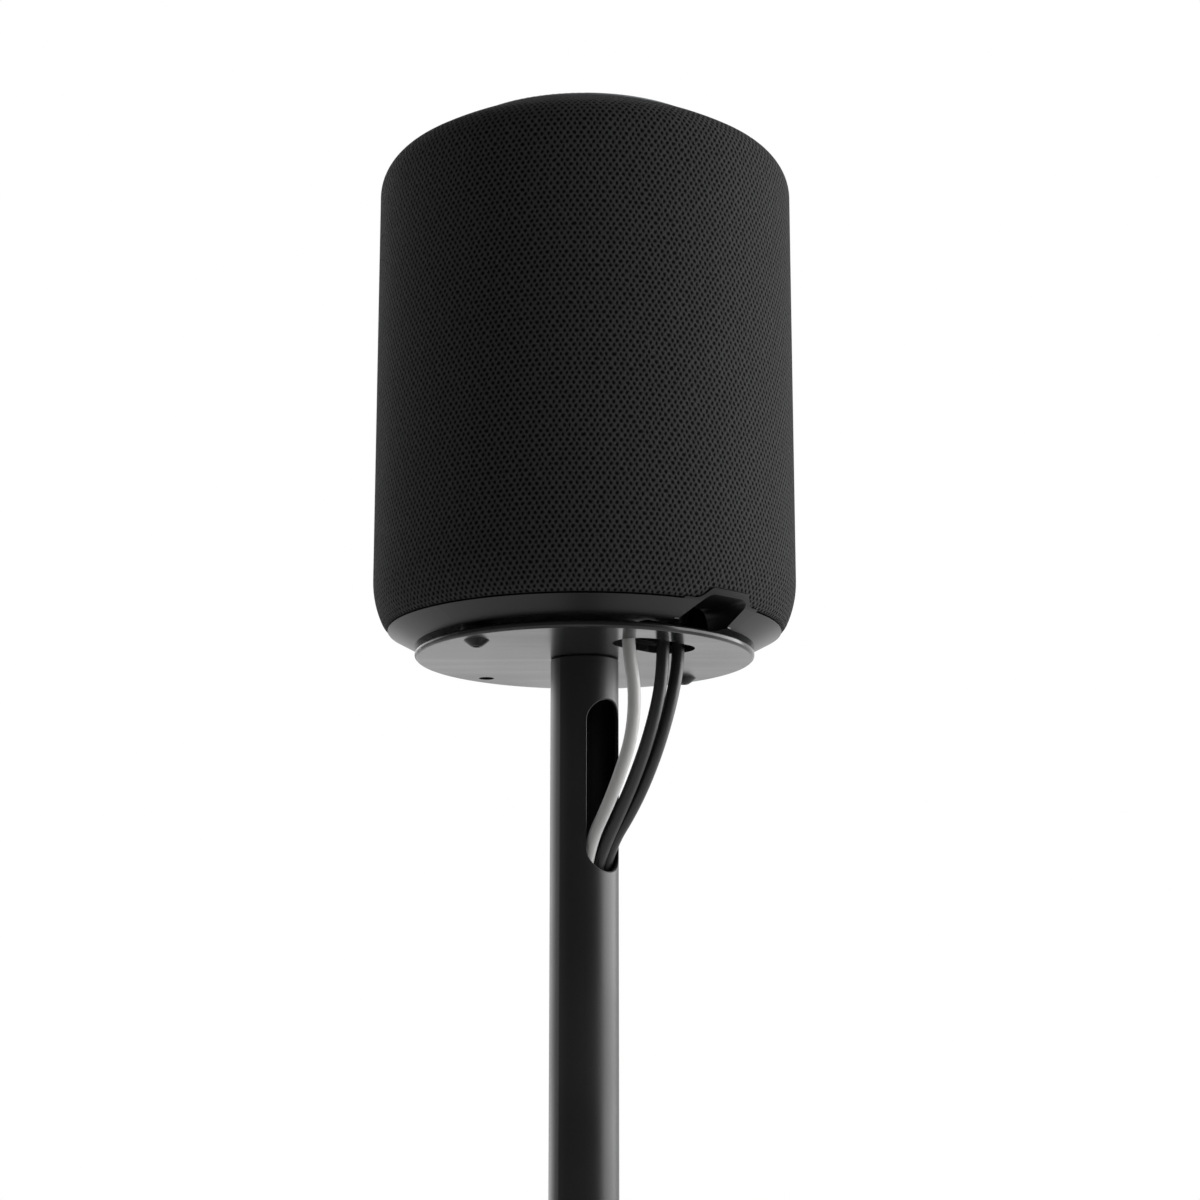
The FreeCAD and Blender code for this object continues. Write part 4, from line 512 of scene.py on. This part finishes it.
def make_lead(name, points, material):
    data = bpy.data.curves.new(name, "CURVE")
    data.dimensions = "3D"
    data.resolution_u = 5
    data.bevel_depth = CORD / 2 / 1000
    data.bevel_resolution = 3
    data.use_fill_caps = True
    spline = data.splines.new("NURBS")
    spline.points.add(len(points) - 1)
    for spot, point in zip(spline.points, points):
        spot.co = (*(point * 0.001), 1)
    spline.order_u = 3
    spline.use_endpoint_u = True
    piece = bpy.data.objects.new(name, data)
    bpy.context.scene.collection.objects.link(piece)
    data.materials.append(material)
    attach(piece, "stand")
    kind = name.split("_")[0]
    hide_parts(f"{kind}_lead", f"{kind}_coil", f"{kind}_tail")


# A coil is its centre, the angle where it starts, which way it turns and how many turns it has.
MAINS_COIL = ((0, 192), 180, -1, 4.25)
AUDIO_COIL = ((-84, 177), 0, 1, 4.5)
DATA_COIL = ((84, 177), 180, -1, 4.5)

mains_points = lead_points([
    (-3.0, 42.0, 771.0), (-3.0, 42.0, 757.0), (-2.0, 40.8, 741.0), (-0.6, 35.6, 723.0),
    (-0.2, 27.6, 707.0), (-0.3, 19.0, 694.0), (-0.4, 10.4, 682.0), (-0.4, 3.6, 666.0),
    (-0.1, 1.2, 638.0), (0.1, -0.8, 588.0), (0.2, -2.4, 518.0), (0.2, -3.2, 443.0),
    (0.2, -3.2, 368.0), (0.1, -2.4, 293.0), (0.0, -0.8, 223.0), (-0.1, 1.4, 163.0),
    (-0.2, 3.8, 120.0), (-0.4, 8.0, 91.0), (-1.4, 17.2, 66.0), (-4.0, 32.6, 42.0),
    (-9.0, 51.4, 22.6), (-16.0, 75.0, 14.4), (-24.4, 100.0, 14.2), (-31.6, 127.0, 14.6),
    (-34.2, 149.0, 13.0),
], MAINS_COIL, [(14.0, 0.0), (32.0, 3.0), (48.0, 7.4)], axis_height=7.5)
mains_strap = make_strap("mains_strap", MAINS_COIL, -90)
make_lead("mains_cord", mains_points, black_sheath)

audio_points = lead_points([
    (-12.0, 42.0, 771.0), (-12.0, 42.0, 757.0), (-9.0, 41.2, 741.0), (-7.0, 36.2, 723.0),
    (-6.3, 28.2, 707.0), (-6.0, 19.4, 694.5), (-5.6, 10.0, 684.0), (-5.4, 4.4, 668.0),
    (-5.9, 3.0, 639.0), (-6.2, 1.2, 589.0), (-6.4, 0.0, 519.0), (-6.5, -0.6, 444.0),
    (-6.5, -0.6, 369.0), (-6.3, 0.0, 294.0), (-6.0, 1.2, 224.0), (-5.8, 3.0, 164.0),
    (-5.6, 4.8, 121.0), (-5.4, 8.2, 92.0), (-6.6, 17.6, 67.0), (-11.2, 33.4, 43.0),
    (-18.8, 52.0, 23.0), (-28.6, 75.0, 14.4), (-37.8, 100.0, 14.2), (-45.6, 129.5, 14.8),
], AUDIO_COIL, [(14.0, 0.0), (28.0, 0.8), (42.0, 2.6)], axis_height=4.6)
audio_strap = make_strap("audio_strap", AUDIO_COIL, 90)
make_lead("audio_cord", audio_points, black_sheath)

data_points = lead_points([
    (15.8, 40.5, 771.0), (15.8, 40.5, 757.0), (13.0, 41.8, 741.0), (10.6, 37.6, 723.0),
    (9.4, 28.6, 707.0), (7.2, 19.6, 696.0), (5.5, 10.6, 686.0), (5.0, 4.6, 670.0),
    (5.6, 3.0, 642.0), (6.1, 1.2, 592.0), (6.4, 0.0, 522.0), (6.5, -0.6, 447.0),
    (6.4, -0.6, 372.0), (6.2, 0.0, 297.0), (5.9, 1.2, 227.0), (5.6, 3.0, 165.0),
    (5.4, 4.6, 122.0), (5.4, 8.2, 93.0), (6.2, 17.4, 68.0), (9.4, 33.0, 44.0),
    (15.8, 52.0, 23.6), (25.0, 75.0, 14.4), (35.0, 100.0, 14.2), (45.0, 129.5, 14.8),
], DATA_COIL, [(14.0, 0.0), (28.0, 0.8), (42.0, 2.6)], axis_height=4.1)
data_strap = make_strap("data_strap", DATA_COIL, 90)
make_lead("data_cord", data_points, white_sheath)

# Plugs
# A plug is moulded on the sheath at both ends of each lead, in the sheath's colour.
# The mains plug has two pins that are sleeved at their roots, and the audio plug has a bare metal jack.
SLEEVED_PIN_REACH = 69.5
JACK_BODY_REACH = 26.0


def bare_ended(name, color, points, reach, metal):
    """Moulded plastic up to a distance along the plug's axis, and bright metal past it."""
    material, tree, shader = finish(name, color, 0.42)
    axis = (points[-1] - points[-2]).normalized()
    place = tree.nodes.new("ShaderNodeTexCoord")
    distance = tree.nodes.new("ShaderNodeVectorMath")
    distance.operation = "DOT_PRODUCT"
    distance.inputs[1].default_value = axis
    tree.links.new(place.outputs["Object"], distance.inputs[0])
    edge = (points[-1].dot(axis) + reach) / 1000
    bare = remap(tree, distance.outputs["Value"], 0, 1, edge, edge + 0.0001)
    tint(tree, shader, bare, color, metal)
    tree.links.new(bare, shader.inputs["Metallic"])
    tree.links.new(remap(tree, bare, 0.42, 0.2, 0, 1), shader.inputs["Roughness"])
    relief(tree, shader, object_noise(tree, 1400, 2), 0.00002, 0.5)
    return material


dress(black_plug, "mains_lead_plug", "audio_lead_plug")
PLUG_BLACK = (0.016, 0.016, 0.0165)
PIN_METAL = (0.66, 0.62, 0.54)
JACK_METAL = (0.72, 0.7, 0.66)
mains_plug = bare_ended("mains_plug", PLUG_BLACK, mains_points, SLEEVED_PIN_REACH, PIN_METAL)
jack_plug = bare_ended("jack_plug", PLUG_BLACK, audio_points, JACK_BODY_REACH, JACK_METAL)
dress(mains_plug, "mains_far_plug")
dress(jack_plug, "audio_far_plug")
dress(white_plug, "data_lead_plug", "data_far_plug")

# Floor, light and camera
# A plain pale floor under a soft studio light, seen from below the speaker as in the photograph.
# A white backdrop stands behind the object, and the side of the camera is darker.
FLOOR_RADIUS = 3.0
FLOOR_GLOW = 0.4
BACKDROP_ANGLE = 20
DARK_SIDE, BRIGHT_SIDE, FILL = 0.12, 1.0, 0.16
CAMERA_PLACE = (0.6840, 0.6930, 0.5783)
CAMERA_AZIMUTH, CAMERA_TILT = 45, 12.01

floor_mesh = bmesh.new()
bmesh.ops.create_circle(floor_mesh, cap_ends=True, segments=96, radius=FLOOR_RADIUS)
floor_data = bpy.data.meshes.new("floor")
floor_mesh.to_mesh(floor_data)
floor_mesh.free()
floor = bpy.data.objects.new("floor", floor_data)
bpy.context.scene.collection.objects.link(floor)
floor_paint, tree, shader = finish("floor_paint", (0.86, 0.86, 0.86), 0.7)
tint(tree, shader, remap(tree, object_noise(tree, 3, 2), 0, 1), (0.85, 0.85, 0.85), (0.87, 0.87, 0.87))
glow = tree.nodes.new("ShaderNodeEmission")
blend = tree.nodes.new("ShaderNodeMixShader")
path = tree.nodes.new("ShaderNodeLightPath")
bounced = math_node(tree, "MAXIMUM", path.outputs["Is Glossy Ray"],
                    path.outputs["Is Transmission Ray"])
seen = math_node(tree, "MAXIMUM", path.outputs["Is Camera Ray"], bounced)
tree.links.new(math_node(tree, "MULTIPLY", seen, FLOOR_GLOW), blend.inputs["Fac"])
tree.links.new(shader.outputs["BSDF"], blend.inputs[1])
tree.links.new(glow.outputs["Emission"], blend.inputs[2])
tree.links.new(blend.outputs["Shader"], tree.nodes["Material Output"].inputs["Surface"])
floor_data.materials.append(floor_paint)

world = bpy.data.worlds.new("studio")
bpy.context.scene.world = world
world.use_nodes = True
tree = world.node_tree
background = tree.nodes["Background"]
background.inputs["Color"].default_value = (1, 1, 1, 1)
path = tree.nodes.new("ShaderNodeLightPath")
place = tree.nodes.new("ShaderNodeTexCoord")
side = tree.nodes.new("ShaderNodeVectorMath")
side.operation = "DOT_PRODUCT"
side.inputs[1].default_value = (-cosine(BACKDROP_ANGLE), -sine(BACKDROP_ANGLE), 0)
tree.links.new(place.outputs["Generated"], side.inputs[0])
backdrop = remap(tree, side.outputs["Value"], DARK_SIDE, BRIGHT_SIDE, -0.5, 0.5)
fill = tree.nodes.new("ShaderNodeMix")
fill.inputs[2].default_value = FILL
tree.links.new(path.outputs["Is Glossy Ray"], fill.inputs[0])
tree.links.new(backdrop, fill.inputs[3])
reflected = fill.outputs[0]
seen = math_node(tree, "MAXIMUM", path.outputs["Is Camera Ray"], path.outputs["Is Transmission Ray"])
tree.links.new(math_node(tree, "MAXIMUM", seen, reflected), background.inputs["Strength"])


def softbox(name, place, target, width, height, power):
    light = bpy.data.lights.new(name, "AREA")
    light.shape = "RECTANGLE"
    light.size = width
    light.size_y = height
    light.energy = power
    lamp = bpy.data.objects.new(name, light)
    lamp.location = place
    lamp.rotation_euler = (Vector(target) - Vector(place)).to_track_quat("-Z", "Y").to_euler()
    bpy.context.scene.collection.objects.link(lamp)


softbox("right_softbox", (-1.7, 1.4, 1.35), (0, 0, 0.9), 3.0, 2.0, 74)
softbox("left_softbox", (0.1, -2.1, 1.3), (0, 0, 0.9), 1.8, 2.0, 15)

camera_data = bpy.data.cameras.new("camera")
camera_data.lens = 72
camera_data.sensor_width = 36
camera_data.clip_end = 50
camera = bpy.data.objects.new("camera", camera_data)
level = Vector((-cosine(CAMERA_AZIMUTH), -sine(CAMERA_AZIMUTH), 0))
ahead = level * cosine(CAMERA_TILT) + Vector((0, 0, sine(CAMERA_TILT)))
camera.matrix_world = (Matrix.Translation(CAMERA_PLACE)
                       @ ahead.to_track_quat("-Z", "Y").to_matrix().to_4x4())
bpy.context.scene.collection.objects.link(camera)
bpy.context.scene.camera = camera
bpy.context.scene.view_settings.view_transform = "Standard"
